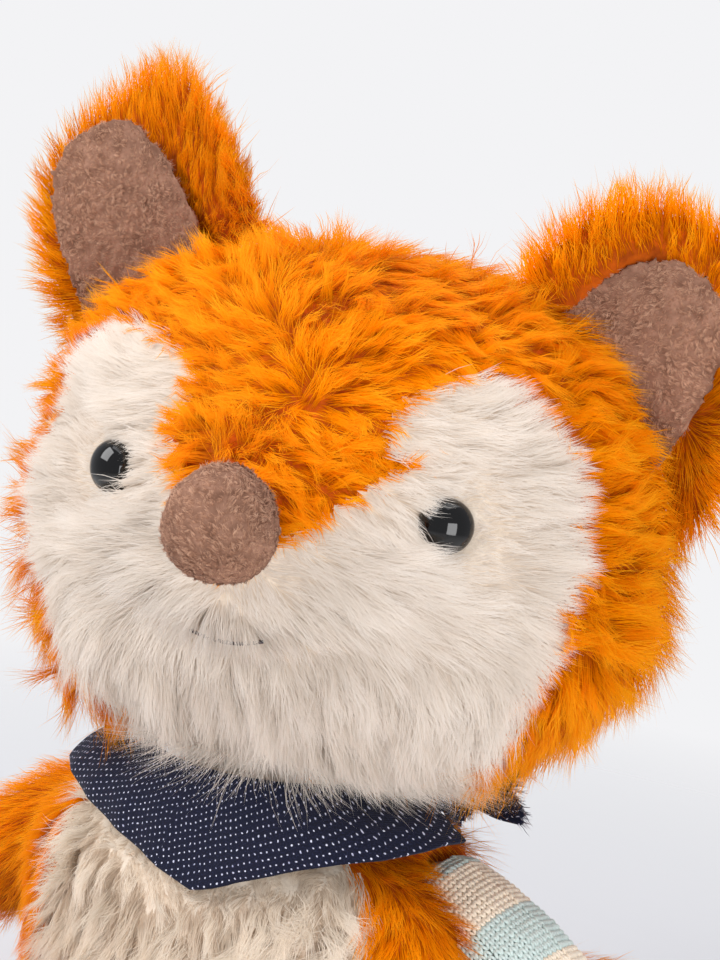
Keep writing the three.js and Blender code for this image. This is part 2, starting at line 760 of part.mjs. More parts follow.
// The cloth as a closed ring: out along its outer face and back along its inner one
function clothForm() {
  const points = [];
  const loop = 2 * (clothRows + 1);
  for (let step = 0; step < clothSteps; step += 1) {
    const angle = step / clothSteps * 2 * Math.PI;
    for (let row = 0; row <= clothRows; row += 1) {
      points.push(clothPoint(angle, row / clothRows, clothThickness));
    }
    for (let row = clothRows; row >= 0; row -= 1) {
      points.push(clothPoint(angle, row / clothRows, 0));
    }
  }
  const faces = [];
  const at = (step, row) => (step % clothSteps) * loop + (row % loop);
  for (let step = 0; step < clothSteps; step += 1) {
    for (let row = 0; row < loop; row += 1) {
      faces.push([at(step, row), at(step + 1, row), at(step, row + 1)]);
      faces.push([at(step + 1, row), at(step + 1, row + 1), at(step, row + 1)]);
    }
  }
  return outwardGeometry(points, faces);
}

// Knot: two swellings with a pinch between them, lying against the band
const knotSeat = clothPoint(knotAngle, middleShare, clothThickness + knotLift + knotWidth / 2);
const knotOutward = new THREE.Vector3(Math.sin(knotAngle), -Math.cos(knotAngle), 0);
const knotAlong = new THREE.Vector3(Math.cos(knotAngle), Math.sin(knotAngle), 0);

function knotForm() {
  return closedForm(smallColumns, smallRows, (around, along) => {
    const turn = around * 2 * Math.PI;
    const place = (along - middleShare) * Math.PI;
    const pinch = knotPinch * hump(place, knotPinchShare) * (1 + Math.cos(turn)) / 2;
    const radius = Math.cos(place) * (knotWidth / 2 - pinch);
    return knotSeat.clone()
      .addScaledVector(knotAlong, knotLength / 2 * Math.sin(place))
      .addScaledVector(knotOutward, radius * Math.cos(turn))
      .addScaledVector(up, radius * Math.sin(turn));
  });
}

// One hanging end of the cloth: narrow at the knot, wider and wavy at its cut edge
function clothEndForm(direction) {
  const across = direction.clone().cross(knotOutward).normalize();
  const facing = across.clone().cross(direction);
  const alongKnot = direction.dot(knotAlong);
  const reach = 1 / Math.hypot(2 * alongKnot / knotLength, 2 * Math.sqrt(1 - alongKnot ** 2) / knotWidth);
  const pinch = knotPinch * Math.max(0, direction.dot(knotOutward)) ** 2;
  const start = knotSeat.clone().addScaledVector(direction, reach - pinch + seamGap);
  return closedForm(smallColumns, smallRows, (around, along) => {
    const turn = around * 2 * Math.PI;
    const round = along > 0 && along < 1 ? Math.sqrt(Math.sin(Math.PI * along)) : 0;
    const halfWidth = endWidth / 2 * round * THREE.MathUtils.lerp(endRootShare, 1, along);
    const wave = endThickness * endWaveShare * Math.sin(Math.PI * (2 * Math.cos(turn) + along));
    const thickness = endThickness / 2 * round * Math.sin(turn);
    return start.clone()
      .addScaledVector(direction, endLength * along)
      .addScaledVector(across, halfWidth * Math.cos(turn))
      .addScaledVector(facing, thickness + wave * along * round);
  });
}
addPiece('neckerchief', solidOf(clothForm()), dottedChambray);
addPiece('neckerchief_knot', solidOf(knotForm()), dottedChambray);
for (const [index, endName] of ['side', 'back'].entries()) {
  const level = new THREE.Vector3(Math.cos(endTurns[index]), Math.sin(endTurns[index]), 0);
  const direction = level.multiplyScalar(Math.cos(endRises[index]));
  direction.addScaledVector(up, Math.sin(endRises[index]));
  addPiece(`neckerchief_end_${endName}`, solidOf(clothEndForm(direction)), dottedChambray);
}

export default group;
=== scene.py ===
"""A sitting plush fox with long combed fur, a knitted arm and a dotted neckerchief.

Lengths are in millimetres where a name or property says so, and in metres in Blender.
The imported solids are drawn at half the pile's height, so each cloth skin lies inside them.
"""
import json
import math
from functools import partial

import bpy
import numpy as np
from bpy.props import FloatProperty, FloatVectorProperty, PointerProperty
from mathutils import Matrix, Vector, noise
from mathutils.bvhtree import BVHTree
from mathutils.kdtree import KDTree

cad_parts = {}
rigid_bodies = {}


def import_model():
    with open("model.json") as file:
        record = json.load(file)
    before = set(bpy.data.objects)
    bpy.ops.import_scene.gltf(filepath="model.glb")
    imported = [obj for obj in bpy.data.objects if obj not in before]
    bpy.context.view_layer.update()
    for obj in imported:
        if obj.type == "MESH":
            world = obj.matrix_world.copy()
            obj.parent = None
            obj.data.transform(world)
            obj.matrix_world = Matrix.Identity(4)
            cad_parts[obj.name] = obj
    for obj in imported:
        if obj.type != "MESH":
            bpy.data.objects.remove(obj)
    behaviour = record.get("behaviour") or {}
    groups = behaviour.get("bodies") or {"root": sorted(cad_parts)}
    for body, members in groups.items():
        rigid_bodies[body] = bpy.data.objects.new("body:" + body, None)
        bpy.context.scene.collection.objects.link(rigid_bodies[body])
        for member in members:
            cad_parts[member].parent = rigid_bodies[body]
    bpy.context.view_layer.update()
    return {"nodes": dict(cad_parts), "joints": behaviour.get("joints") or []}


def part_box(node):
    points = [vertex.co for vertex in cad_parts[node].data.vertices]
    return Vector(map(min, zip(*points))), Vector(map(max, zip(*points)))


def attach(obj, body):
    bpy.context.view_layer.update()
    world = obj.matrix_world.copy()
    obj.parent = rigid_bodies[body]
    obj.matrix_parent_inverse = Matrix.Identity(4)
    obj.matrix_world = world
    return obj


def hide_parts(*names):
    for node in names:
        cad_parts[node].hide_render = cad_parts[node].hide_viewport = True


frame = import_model()

bl_info = {
    "name": "Plush fox",
    "version": (1, 0, 0),
    "blender": (4, 5, 0),
    "location": "View3D > Sidebar > Plush fox",
    "description": "Builds the fur, felt, knitting, cloth and eyes of a sitting plush fox",
    "category": "Add Mesh",
}

MM = 0.001
UP = np.array([0.0, 0.0, 1.0])
SIDES = (("left", 1), ("right", -1))

# The head looks this far to the fox's left of where the body faces
HEAD_TURN = math.radians(16)
HEAD_RIGHT = np.array([math.cos(HEAD_TURN), math.sin(HEAD_TURN), 0.0])
HEAD_FRONT = np.array([math.sin(HEAD_TURN), -math.cos(HEAD_TURN), 0.0])

# The flattest that a strand may lie on its skin, and the lowest that fur may reach, in metres
LEAST_RISE = 0.2
FLOOR_GAP = 0.0004

# Colours of each finish: of a pile from root to tip, and of the others from dark to pale
# The darker roots of each pile are painted shade of the deep pile
PALETTE = {
    "cream_dark": ("#d3c7ba", "#e0d6cb", "#e9e1d8"),
    "cream_pale": ("#dfd4c8", "#e9e1d8", "#f3ede7"),
    "orange_dark": ("#a24a00", "#e48200", "#f69a00"),
    "orange_pale": ("#d27000", "#fba400", "#ffc62a"),
    "belly_dark": ("#b9a48e", "#dccdba", "#efe4d5"),
    "belly_pale": ("#d2bfaa", "#eee2d2", "#fcf5ea"),
    "fleece_dark": ("#6d4532", "#aa7b61", "#ca9e83"),
    "fleece_pale": ("#865b45", "#c59a7f", "#e6c0a6"),
    "fringe_dark": ("#1d1b2c", "#33324c"),
    "fringe_pale": ("#5a5a78", "#f2eff2"),
    # The backings are darker than their piles, as painted shade in the partings
    "orange_backing": ("#8f3a00", "#c65a04"),
    "cream_backing": ("#c9b7a3", "#e6d8c7"),
    "brown_backing": ("#6d4c3c", "#9a735f"),
    "knit_backing": ("#aaa698", "#c9c3b4"),
    # Each yarn runs from painted shade under a stitch's legs to their paler tops
    "mint_yarn": ("#a9bbb6", "#cfdeda"),
    "cream_yarn": ("#dcc8ab", "#f6e8d4"),
    "navy_cloth": ("#080a18", "#11142a", "#272b48"),
    "navy_weave": ("#0b0d1e", "#242944"),
    "cloth_dots": ("#9699bb", "#e2e4f5"),
    "eye_acrylic": ("#020202", "#060404"),
    "washer_nylon": ("#cfcbc2", "#e2dfd8"),
    "mouth_thread": ("#2e2a2c", "#4a4346"),
}

# The kinds of node that stand in several places
MATH = "ShaderNodeMath"
VECTORS = "ShaderNodeVectorMath"
RAMP = "ShaderNodeValToRGB"
MIX = "ShaderNodeMix"
RANDOM = "FunctionNodeRandomValue"
ATTRIBUTE = "GeometryNodeInputNamedAttribute"
STORE = "GeometryNodeStoreNamedAttribute"


# Small tools


def linear(code):
    """A colour given as an sRGB hex code, as linear red, green, blue and alpha."""
    channels = [int(code[i : i + 2], 16) / 255 for i in (1, 3, 5)]
    return (*[c / 12.92 if c <= 0.04045 else ((c + 0.055) / 1.055) ** 2.4 for c in channels], 1.0)


def add_node(tree, kind, inputs=(), stops=(), **settings):
    """Adds a node with its settings and a ramp's stops, and sets or links its inputs.

    The inputs are given in order, or by name or number, and the stops as (place, colour).
    """
    node = tree.nodes.new(kind)
    for name, value in settings.items():
        setattr(node, name, value)
    for _ in stops[2:]:
        node.color_ramp.elements.new(0.5)
    for number, (place, colour) in enumerate(stops):
        node.color_ramp.elements[number].position = place
        node.color_ramp.elements[number].color = colour
    for key, value in inputs.items() if isinstance(inputs, dict) else enumerate(inputs):
        if isinstance(value, bpy.types.NodeSocket):
            tree.links.new(value, node.inputs[key])
        else:
            node.inputs[key].default_value = value
    return node


def output(tree, kind, inputs=(), which=0, **settings):
    """Adds a node and gives one of its outputs."""
    return add_node(tree, kind, inputs, **settings).outputs[which]


def tones(finish, *places):
    """The colours that the settings hold for a finish, at these places of a colour ramp."""
    colours = bpy.context.scene.fox_colours
    return [(place, (*getattr(colours, f"{finish}_{number}"), 1.0)) for number, place in enumerate(places)]


def unit(vectors):
    """Rows of vectors at length 1."""
    return vectors / np.maximum(np.linalg.norm(vectors, axis=-1, keepdims=True), 1e-9)


def smooth_step(values, low, high):
    share = np.clip((values - low) / (high - low), 0, 1)
    return share * share * (3 - 2 * share)


def bell(values, middle, width):
    """1 at the middle, falling smoothly to both sides over the width."""
    return np.exp(-(((values - middle) / width) ** 2))


def cad_triangles(names):
    """Vertices, faces and the owner of each face of some nodes of the frame."""
    points, faces, owners = [], [], []
    start = 0
    for number, name in enumerate(names):
        mesh = frame["nodes"][name].data
        points.append(vertex_arrays(mesh)[0])
        faces += [[start + v for v in polygon.vertices] for polygon in mesh.polygons]
        owners += [number] * len(mesh.polygons)
        start += len(mesh.vertices)
    return np.concatenate(points), faces, owners


def tree_of(*names):
    points, faces, _ = cad_triangles(names)
    return BVHTree.FromPolygons([Vector(p) for p in points], faces)


def distances(points, *names):
    """Distance in millimetres from each point to the nearest of some nodes."""
    tree = tree_of(*names)
    return np.array([tree.find_nearest(Vector(p))[3] for p in points]) / MM


def gap_to(points, others):
    """Distance in millimetres from each point to the nearest of the others."""
    tree = KDTree(len(others))
    for number, place in enumerate(others):
        tree.insert(Vector(place), number)
    tree.balance()
    return np.array([tree.find(Vector(p))[2] for p in points]) / MM


def node_points(name):
    return cad_triangles([name])[0]


def box_centre(*names):
    corners = np.array([[list(c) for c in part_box(n)] for n in names])
    return (corners[:, 0].min(0) + corners[:, 1].max(0)) / 2


def ring_faces(rings, sides, start=0):
    """Faces between closed rings of points that follow each other."""
    faces = []
    for ring in range(rings - 1):
        for side in range(sides):
            a = start + ring * sides + side
            b = start + ring * sides + (side + 1) % sides
            faces.append([a, a + sides, b + sides, b])
    return faces


def tube(line, radius, sides):
    """A closed round tube along a line of points."""
    line = np.array(line)
    ahead = unit(np.gradient(line, axis=0))
    across = unit(np.cross(ahead, UP + 0 * ahead))
    upward = np.cross(across, ahead)
    turns = (np.arange(sides) / sides * 2 * math.pi)[None, :, None]
    rings = line[:, None] + radius * (np.cos(turns) * across[:, None] + np.sin(turns) * upward[:, None])
    last = len(line) * sides - 1
    caps = [list(range(sides)), list(range(last, last - sides, -1))]
    return mesh_of(rings.reshape(-1, 3), caps + ring_faces(len(line), sides))


def new_object(name, mesh, material):
    mesh.name = name
    thing = bpy.data.objects.new(name, mesh)
    bpy.context.scene.collection.objects.link(thing)
    if material:
        mesh.materials.clear()
        mesh.materials.append(material)
    mesh.shade_smooth()
    return thing


def mesh_of(points, faces):
    mesh = bpy.data.meshes.new("form")
    mesh.from_pydata([tuple(p) for p in points], [], faces)
    mesh.update()
    return mesh


def vertex_arrays(mesh):
    """Positions and normals of a mesh's vertices."""
    points = np.empty(len(mesh.vertices) * 3)
    normals = np.empty(len(mesh.vertices) * 3)
    mesh.vertices.foreach_get("co", points)
    mesh.vertex_normals.foreach_get("vector", normals)
    return points.reshape(-1, 3), normals.reshape(-1, 3)


def move_vertices(mesh, points):
    mesh.vertices.foreach_set("co", np.asarray(points).ravel())
    mesh.update()


def store(mesh, name, kind, values):
    """Stores an attribute of the points, whose values may also be one number for all."""
    attribute = mesh.attributes.get(name) or mesh.attributes.new(name, kind, "POINT")
    key = "vector" if kind == "FLOAT_VECTOR" else "value"
    if np.ndim(values) == 0:
        values = np.full(len(mesh.vertices), values)
    attribute.data.foreach_set(key, np.asarray(values, dtype=np.float32).ravel())


def owners_of(mesh):
    """Which of its nodes a cast form shows at each vertex."""
    owner = np.empty(len(mesh.vertices), dtype=np.float32)
    mesh.attributes["owner"].data.foreach_get("value", owner)
    return owner


def cloth_uv(mesh, corners):
    """Stores where each face corner lies on the flat cloth, in millimetres."""
    layer = mesh.uv_layers.new(name="cloth")
    layer.data.foreach_set("uv", np.array(corners, dtype=np.float32).ravel())


def belongs(thing, body, slot, *nodes):
    """Makes a piece ride on its body and hides the nodes that it stands for; its slot is not used."""
    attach(thing, body)
    if nodes:
        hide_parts(*nodes)


def evaluated(thing):
    """A plain mesh of an object with its modifiers applied."""
    graph = bpy.context.evaluated_depsgraph_get()
    return bpy.data.meshes.new_from_object(thing.evaluated_get(graph))


# Forms taken from the frame


def cast_form(nodes, centre, columns, rows, inset, blur=2):
    """A smooth closed form found by looking at the nodes from all round a point inside."""
    points, faces, owners = cad_triangles(nodes)
    tree = BVHTree.FromPolygons([Vector(p) for p in points], faces)
    reach = 2 * np.linalg.norm(points - centre, axis=1).max()
    rise = ((np.arange(rows + 1) / rows - 0.5) * math.pi)[:, None]
    turn = (np.arange(columns) / columns * 2 * math.pi)[None]
    flat = np.cos(rise)
    rays = np.stack([flat * np.sin(turn), -flat * np.cos(turn), np.sin(rise) * np.ones(columns)], -1)
    radii = np.zeros((rows + 1, columns))
    owner = np.zeros((rows + 1, columns))
    for row in range(rows + 1):
        for column in range(columns):
            ray = Vector(rays[row, column])
            place, _, face, _ = tree.ray_cast(Vector(centre) + ray * reach, -ray)
            if place is not None:
                radii[row, column] = (place - Vector(centre)).length
                owner[row, column] = owners[face]
    for _ in range(blur):
        radii = (2 * radii + np.roll(radii, 1, 1) + np.roll(radii, -1, 1)) / 4
        radii[1:-1] = (2 * radii[1:-1] + radii[2:] + radii[:-2]) / 4
    radii[0] = radii[0].mean()
    radii[-1] = radii[-1].mean()
    spots = centre + rays * (radii - inset)[..., None]
    merged = [spots[0, 0], *spots[1:-1].reshape(-1, 3), spots[-1, 0]]
    last = len(merged) - 1

    def at(row, column):
        return 1 + (row - 1) * columns + column % columns

    faces = []
    for column in range(columns):
        faces.append([0, at(1, column + 1), at(1, column)])
        faces.append([last, at(rows - 1, column), at(rows - 1, column + 1)])
        for row in range(1, rows - 1):
            low, high = at(row, column), at(row + 1, column)
            faces.append([low, at(row, column + 1), at(row + 1, column + 1), high])
    mesh = mesh_of(merged, faces)
    store(mesh, "owner", "FLOAT", np.concatenate([[owner[0, 0]], owner[1:-1].ravel(), [owner[-1, 0]]]))
    return mesh


def remeshed_form(nodes, voxel, inset, smoothing=6):
    """The nodes joined into one even, smooth closed form, moved inwards; lengths in millimetres."""
    points, faces, _ = cad_triangles(nodes)
    thing = new_object("form", mesh_of(points, faces), None)
    remesh = thing.modifiers.new("remesh", "REMESH")
    remesh.mode = "VOXEL"
    remesh.voxel_size = voxel * MM
    thing.modifiers.new("smooth", "SMOOTH").iterations = smoothing
    mesh = evaluated(thing)
    bpy.data.objects.remove(thing)
    places, normals = vertex_arrays(mesh)
    move_vertices(mesh, places - normals * (inset * MM))
    return mesh


# Node groups


def new_group(name, inputs):
    """A group from geometry to geometry, with more inputs given as name, kind and value."""
    tree = bpy.data.node_groups.new(name, "GeometryNodeTree")
    tree.interface.new_socket("Geometry", in_out="INPUT", socket_type="NodeSocketGeometry")
    for label, kind, value in inputs:
        socket = tree.interface.new_socket(label, in_out="INPUT", socket_type=f"NodeSocket{kind}")
        if value is not None:
            socket.default_value = value
    tree.interface.new_socket("Geometry", in_out="OUTPUT", socket_type="NodeSocketGeometry")
    return tree, add_node(tree, "NodeGroupInput").outputs


def placed(tree, points, thing, rotation, scale):
    """Real copies of an object on points."""
    copy = output(tree, "GeometryNodeObjectInfo", {"Object": thing}, "Geometry")
    inputs = {"Points": points, "Instance": copy, "Rotation": rotation, "Scale": scale}
    copies = output(tree, "GeometryNodeInstanceOnPoints", inputs)
    return output(tree, "GeometryNodeRealizeInstances", (copies,))


def end_group(tree, grown, across, along, material):
    """Stores what the material reads as OFBake, sets the material and ends the group."""
    pair = output(tree, "ShaderNodeCombineXYZ", (across, along))
    inputs = {"Geometry": grown, "Name": "OFBake", "Value": pair}
    grown = output(tree, STORE, inputs, data_type="FLOAT2", domain="CORNER")
    grown = output(tree, "GeometryNodeSetMaterial", {"Geometry": grown, "Material": material})
    add_node(tree, "NodeGroupOutput", (grown,))


def grow(thing, group, values):
    """Turns an object into the plain mesh that a node group with these inputs makes of it."""
    modifier = thing.modifiers.new(group.name, "NODES")
    modifier.node_group = group
    for item in group.interface.items_tree:
        if item.item_type == "SOCKET" and item.in_out == "INPUT" and item.name in values:
            modifier[item.identifier] = values[item.name]
    mesh = evaluated(thing)
    thing.modifiers.clear()
    thing.data = mesh
    mesh.name = thing.name
    return mesh


# Fur


def strand_object(segments, bend, thin=0.45):
    """One flat tapered strand of length 1 along Z that bends towards +Y."""
    points, faces, along = [], [], []
    for step in range(segments):
        share = step / segments
        width = 0.5 * (1 - (1 - thin) * share)
        for side in (-1, 1):
            points.append((side * width, bend * share**2, share))
            along.append(share)
        if step:
            faces.append([2 * step - 2, 2 * step - 1, 2 * step + 1, 2 * step])
    points.append((0, bend, 1))
    along.append(1)
    faces.append([2 * segments - 2, 2 * segments - 1, 2 * segments])
    mesh = mesh_of(points, faces)
    store(mesh, "along", "FLOAT", along)
    return new_object("strand", mesh, None)


FUR_DEFAULTS = {
    "Density": 1e6,
    "Pile": 0.012,
    "Strand Width": 0.0003,
    "Clump Size": 0.0025,
    "Clump Pull": 0.7,
    "Sway Size": 0.02,
    "Sway": 0.5,
    "Wave Size": 0.006,
    "Wave": 0.001,
    "Fray": 0.1,
}


def fur_group():
    """Strands scattered over a skin, combed along its flow and drawn together in clumps."""
    if "fur" in bpy.data.node_groups:
        return bpy.data.node_groups["fur"]
    inputs = [(name, "Float", value) for name, value in FUR_DEFAULTS.items()]
    inputs += [("Seed", "Int", 1), ("Strand", "Object", None), ("Material", "Material", None)]
    tree, given = new_group("fur", inputs)
    node = partial(output, tree)
    seed, half = given["Seed"], (0.5, 0.5, 0.5)
    kinds = {"coat": "FLOAT", "pile": "FLOAT", "flow": "FLOAT_VECTOR", "along": "FLOAT", "shade": "FLOAT"}
    field = {name: node(ATTRIBUTE, {"Name": name}, data_type=kind) for name, kind in kinds.items()}

    # What is drawn for each strand, from low to high and with a seed of its own
    drawn = {}
    ranges = {"length": (0.72, 1.14), "twist": (-0.7, 0.7), "shade": (0.25, 0.75), "width": (0.7, 1.35)}
    for number, (name, (low, high)) in enumerate(ranges.items(), start=5):
        drawn[name] = node(RANDOM, {2: low, 3: high, "Seed": number}, 1, data_type="FLOAT")

    def drifting(place, size):
        """Smooth noise round zero that changes over this size."""
        scale = node(MATH, (1.0, size), operation="DIVIDE")
        swirl = node("ShaderNodeTexNoise", {"Vector": place, "Scale": scale, "Detail": 1.0}, "Color")
        return node(VECTORS, (swirl, half), operation="SUBTRACT")

    def pushed(vector, other, share):
        """The vector moved by a share of the other."""
        step = node(VECTORS, {0: other, "Scale": share}, operation="SCALE")
        return node(VECTORS, (vector, step), operation="ADD")

    thickness = node(MATH, (given["Density"], field["coat"]), operation="MULTIPLY")
    inputs = {"Mesh": given["Geometry"], "Density": thickness, "Seed": seed}
    scatter = add_node(tree, "GeometryNodeDistributePointsOnFaces", inputs, distribute_method="RANDOM")
    normal = scatter.outputs["Normal"]
    place = node("GeometryNodeInputPosition")

    # Every strand belongs to a clump, whose middle and chance colour steer it
    inputs = {"Vector": place, "Scale": node(MATH, (1.0, given["Clump Size"]), operation="DIVIDE")}
    clump = add_node(tree, "ShaderNodeTexVoronoi", inputs)
    middle = clump.outputs["Position"]
    chance = node(VECTORS, (clump.outputs["Color"], half), operation="SUBTRACT")
    inputs = {0: (-1.0, -1.0, -1.0), 1: (1.0, 1.0, 1.0), "Seed": seed}
    own = node(RANDOM, inputs, data_type="FLOAT_VECTOR")
    sway = node(MATH, (given["Sway"], 4.0), operation="MULTIPLY")
    lean = pushed(field["flow"], drifting(middle, given["Sway Size"]), sway)
    lean = pushed(lean, chance, given["Sway"])
    lean = node(VECTORS, (pushed(lean, own, given["Fray"]),), operation="NORMALIZE")
    rise = node(VECTORS, (lean, normal), "Value", operation="DOT_PRODUCT")
    missing = node(MATH, (LEAST_RISE, rise), operation="SUBTRACT")
    lean = pushed(lean, normal, node(MATH, (missing, 0.0), operation="MAXIMUM"))
    pile = node(MATH, (given["Pile"], field["pile"]), operation="MULTIPLY")
    length = node(MATH, (pile, drawn["length"]), operation="MULTIPLY")
    pull = node(MATH, (given["Clump Pull"], length), operation="DIVIDE")
    lean = pushed(lean, node(VECTORS, (middle, place), operation="SUBTRACT"), pull)
    inputs = (lean, node(VECTORS, (lean, normal), operation="CROSS_PRODUCT"))
    turned = node("FunctionNodeAxesToRotation", inputs, primary_axis="Z", secondary_axis="X")
    inputs = {"Axis": (0.0, 0.0, 1.0), "Angle": drawn["twist"]}
    twist = node("FunctionNodeAxisAngleToRotation", inputs)
    turned = node("FunctionNodeRotateRotation", (turned, twist), rotation_space="LOCAL")

    # A strand's shade is partly its clump's
    red = node("ShaderNodeSeparateXYZ", (chance,))
    shade = node(MATH, (red, 0.62, drawn["shade"]), operation="MULTIPLY_ADD")
    shade = node("ShaderNodeClamp", {"Value": shade})
    points = scatter.outputs["Points"]
    for name, value, kind in (("shade", shade, "FLOAT"), ("skin_normal", normal, "FLOAT_VECTOR")):
        inputs = {"Geometry": points, "Name": name, "Value": value}
        points = node(STORE, inputs, data_type=kind, domain="POINT")
    width = node(MATH, (given["Strand Width"], drawn["width"]), operation="MULTIPLY")
    size = node("ShaderNodeCombineXYZ", (width, length, length))
    grown = placed(tree, points, given["Strand"], turned, size)

    # Waves grow towards the tips and are shared by neighbours
    wave = node(MATH, (given["Wave"], 4.0), operation="MULTIPLY")
    towards_tip = node(MATH, (field["along"], 1.3), operation="POWER")
    amount = node(MATH, (wave, towards_tip), operation="MULTIPLY")
    inputs = {0: drifting(place, given["Wave Size"]), "Scale": amount}
    offset = node(VECTORS, inputs, operation="SCALE")
    grown = node("GeometryNodeSetPosition", {"Geometry": grown, "Offset": offset})
    height = node("ShaderNodeSeparateXYZ", (place,), 2)
    sunk = node(MATH, (FLOOR_GAP, height), operation="SUBTRACT")
    raised = node("ShaderNodeCombineXYZ", {2: node(MATH, (sunk, 0.0), operation="MAXIMUM")})
    grown = node("GeometryNodeSetPosition", {"Geometry": grown, "Offset": raised})
    end_group(tree, grown, field["shade"], field["along"], given["Material"])
    return tree


def soften(mesh, share=0.8):
    """Turns the strands' shading towards the skin's, as light that spreads through pile does."""
    skin = np.empty(len(mesh.vertices) * 3, dtype=np.float32)
    mesh.attributes["skin_normal"].data.foreach_get("vector", skin)
    _, own = vertex_arrays(mesh)
    mesh.shade_smooth()
    mesh.normals_split_custom_set_from_vertices(unit(share * skin.reshape(-1, 3) + (1 - share) * own))


def grow_fur(name, skin, body, slot, material, coat, pile, settings, bend=0.28, segments=3):
    """Fur as a plain mesh on a copy of the skin, where coat is 1 and pile is its share."""
    field = skin.data.copy()
    store(field, "coat", "FLOAT", coat)
    store(field, "pile", "FLOAT", pile)
    thing = new_object(name, field, None)
    strand = strand_object(segments, bend)
    mesh = grow(thing, fur_group(), {**settings, "Strand": strand, "Material": material})
    bpy.data.meshes.remove(field)
    bpy.data.objects.remove(strand)
    soften(mesh)
    for spare in ("along", "shade", "skin_normal", "flow", "coat", "pile", "owner"):
        if spare in mesh.attributes:
            mesh.attributes.remove(mesh.attributes[spare])
    belongs(thing, body, slot)
    return thing


# Materials


def new_material(name):
    material = bpy.data.materials.new(name)
    material.use_nodes = True
    material.node_tree.nodes.clear()
    return material, material.node_tree


def surface(tree, inputs):
    """Ends a material with one Principled surface."""
    add_node(tree, "ShaderNodeOutputMaterial", (output(tree, "ShaderNodeBsdfPrincipled", inputs),))


def object_noise(tree, scale, detail=2.0):
    """Fine noise that keeps its place on the object."""
    place = output(tree, "ShaderNodeTexCoord", which="Object")
    return output(tree, "ShaderNodeTexNoise", {"Vector": place, "Scale": scale, "Detail": detail})


def strand_uv(tree):
    """The two numbers that the node groups store for the materials."""
    uv = output(tree, "ShaderNodeUVMap", uv_map="OFBake")
    return add_node(tree, "ShaderNodeSeparateXYZ", {0: uv}).outputs


def fur_material(
    name, finish, places, gloss="#ffffff", roughness=0.55, through=0.45, clear=0.55, shine=0.25
):
    """Acrylic pile: darker at the roots as painted shade of the deep pile, pale and slightly see-through at
    the combed tips.

    The palette holds the colours of the finish's darkest and palest strands, at these places from
    root to tip, and gloss is the colour of their shine. Thin fibres cast only a weak shadow.
    """
    material, tree = new_material(name)
    shade, along, _ = strand_uv(tree)
    dark = output(tree, RAMP, (along,), stops=tones(f"{finish}_dark", *places))
    pale = output(tree, RAMP, (along,), stops=tones(f"{finish}_pale", *places))
    colour = output(tree, MIX, {"Factor": shade, 6: dark, 7: pale}, 2, data_type="RGBA")
    inputs = {
        "Base Color": colour,
        "Roughness": roughness,
        "IOR": 1.49,
        "Specular IOR Level": shine,
        "Specular Tint": linear(gloss),
        "Sheen Weight": 0.4 * shine,
        "Sheen Roughness": 0.5,
        "Sheen Tint": linear(gloss),
    }
    shader = output(tree, "ShaderNodeBsdfPrincipled", inputs)
    glow = output(tree, "ShaderNodeBsdfTranslucent", {"Color": colour})
    both = output(tree, "ShaderNodeMixShader", {0: through, 1: shader, 2: glow})
    shadow = output(tree, "ShaderNodeLightPath", which="Is Shadow Ray")
    weak = output(tree, MATH, (shadow, clear), operation="MULTIPLY")
    nothing = output(tree, "ShaderNodeBsdfTransparent")
    whole = output(tree, "ShaderNodeMixShader", {0: weak, 1: both, 2: nothing})
    add_node(tree, "ShaderNodeOutputMaterial", (whole,))
    return material


def backing_material(colour):
    """Knitted backing cloth of the pile, seen only in partings: dull, finely mottled, and darker than its
    pile as painted shade in the partings.
    """
    name = f"{colour} backing"
    if name in bpy.data.materials:
        return bpy.data.materials[name]
    material, tree = new_material(name)
    mottle = object_noise(tree, scale=260.0, detail=3.0)
    tone = output(tree, RAMP, (mottle,), stops=tones(f"{colour}_backing", 0.3, 0.7))
    bump = output(tree, "ShaderNodeBump", {"Height": mottle, "Strength": 0.6, "Distance": 0.001})
    surface(tree, {"Base Color": tone, "Roughness": 0.95, "Specular IOR Level": 0.2, "Normal": bump})
    return material


def fleece_material():
    """Short curled fleece of the nose and ear linings: matt, each curl darker at its root as painted shade
    and paler at its tip.
    """
    return fur_material("brown fleece", "fleece", (0.0, 0.5, 1.0), roughness=0.85, through=0.25)


def yarn_material():
    """Cotton yarn of the knitted arm: matt and slightly fuzzy, in bands of cream and mint, with painted shade
    under the stitches.
    """
    material, tree = new_material("knitted yarn")
    band, tone, _ = strand_uv(tree)
    mint = output(tree, RAMP, (tone,), stops=tones("mint_yarn", 0.0, 1.0))
    cream = output(tree, RAMP, (tone,), stops=tones("cream_yarn", 0.0, 1.0))
    is_cream = output(tree, MATH, (band, 0.5), operation="GREATER_THAN")
    colour = output(tree, MIX, {"Factor": is_cream, 6: mint, 7: cream}, 2, data_type="RGBA")
    inputs = {"Base Color": colour, "Roughness": 0.9, "Specular IOR Level": 0.2}
    surface(tree, {**inputs, "Sheen Weight": 0.3, "Sheen Roughness": 0.5})
    return material


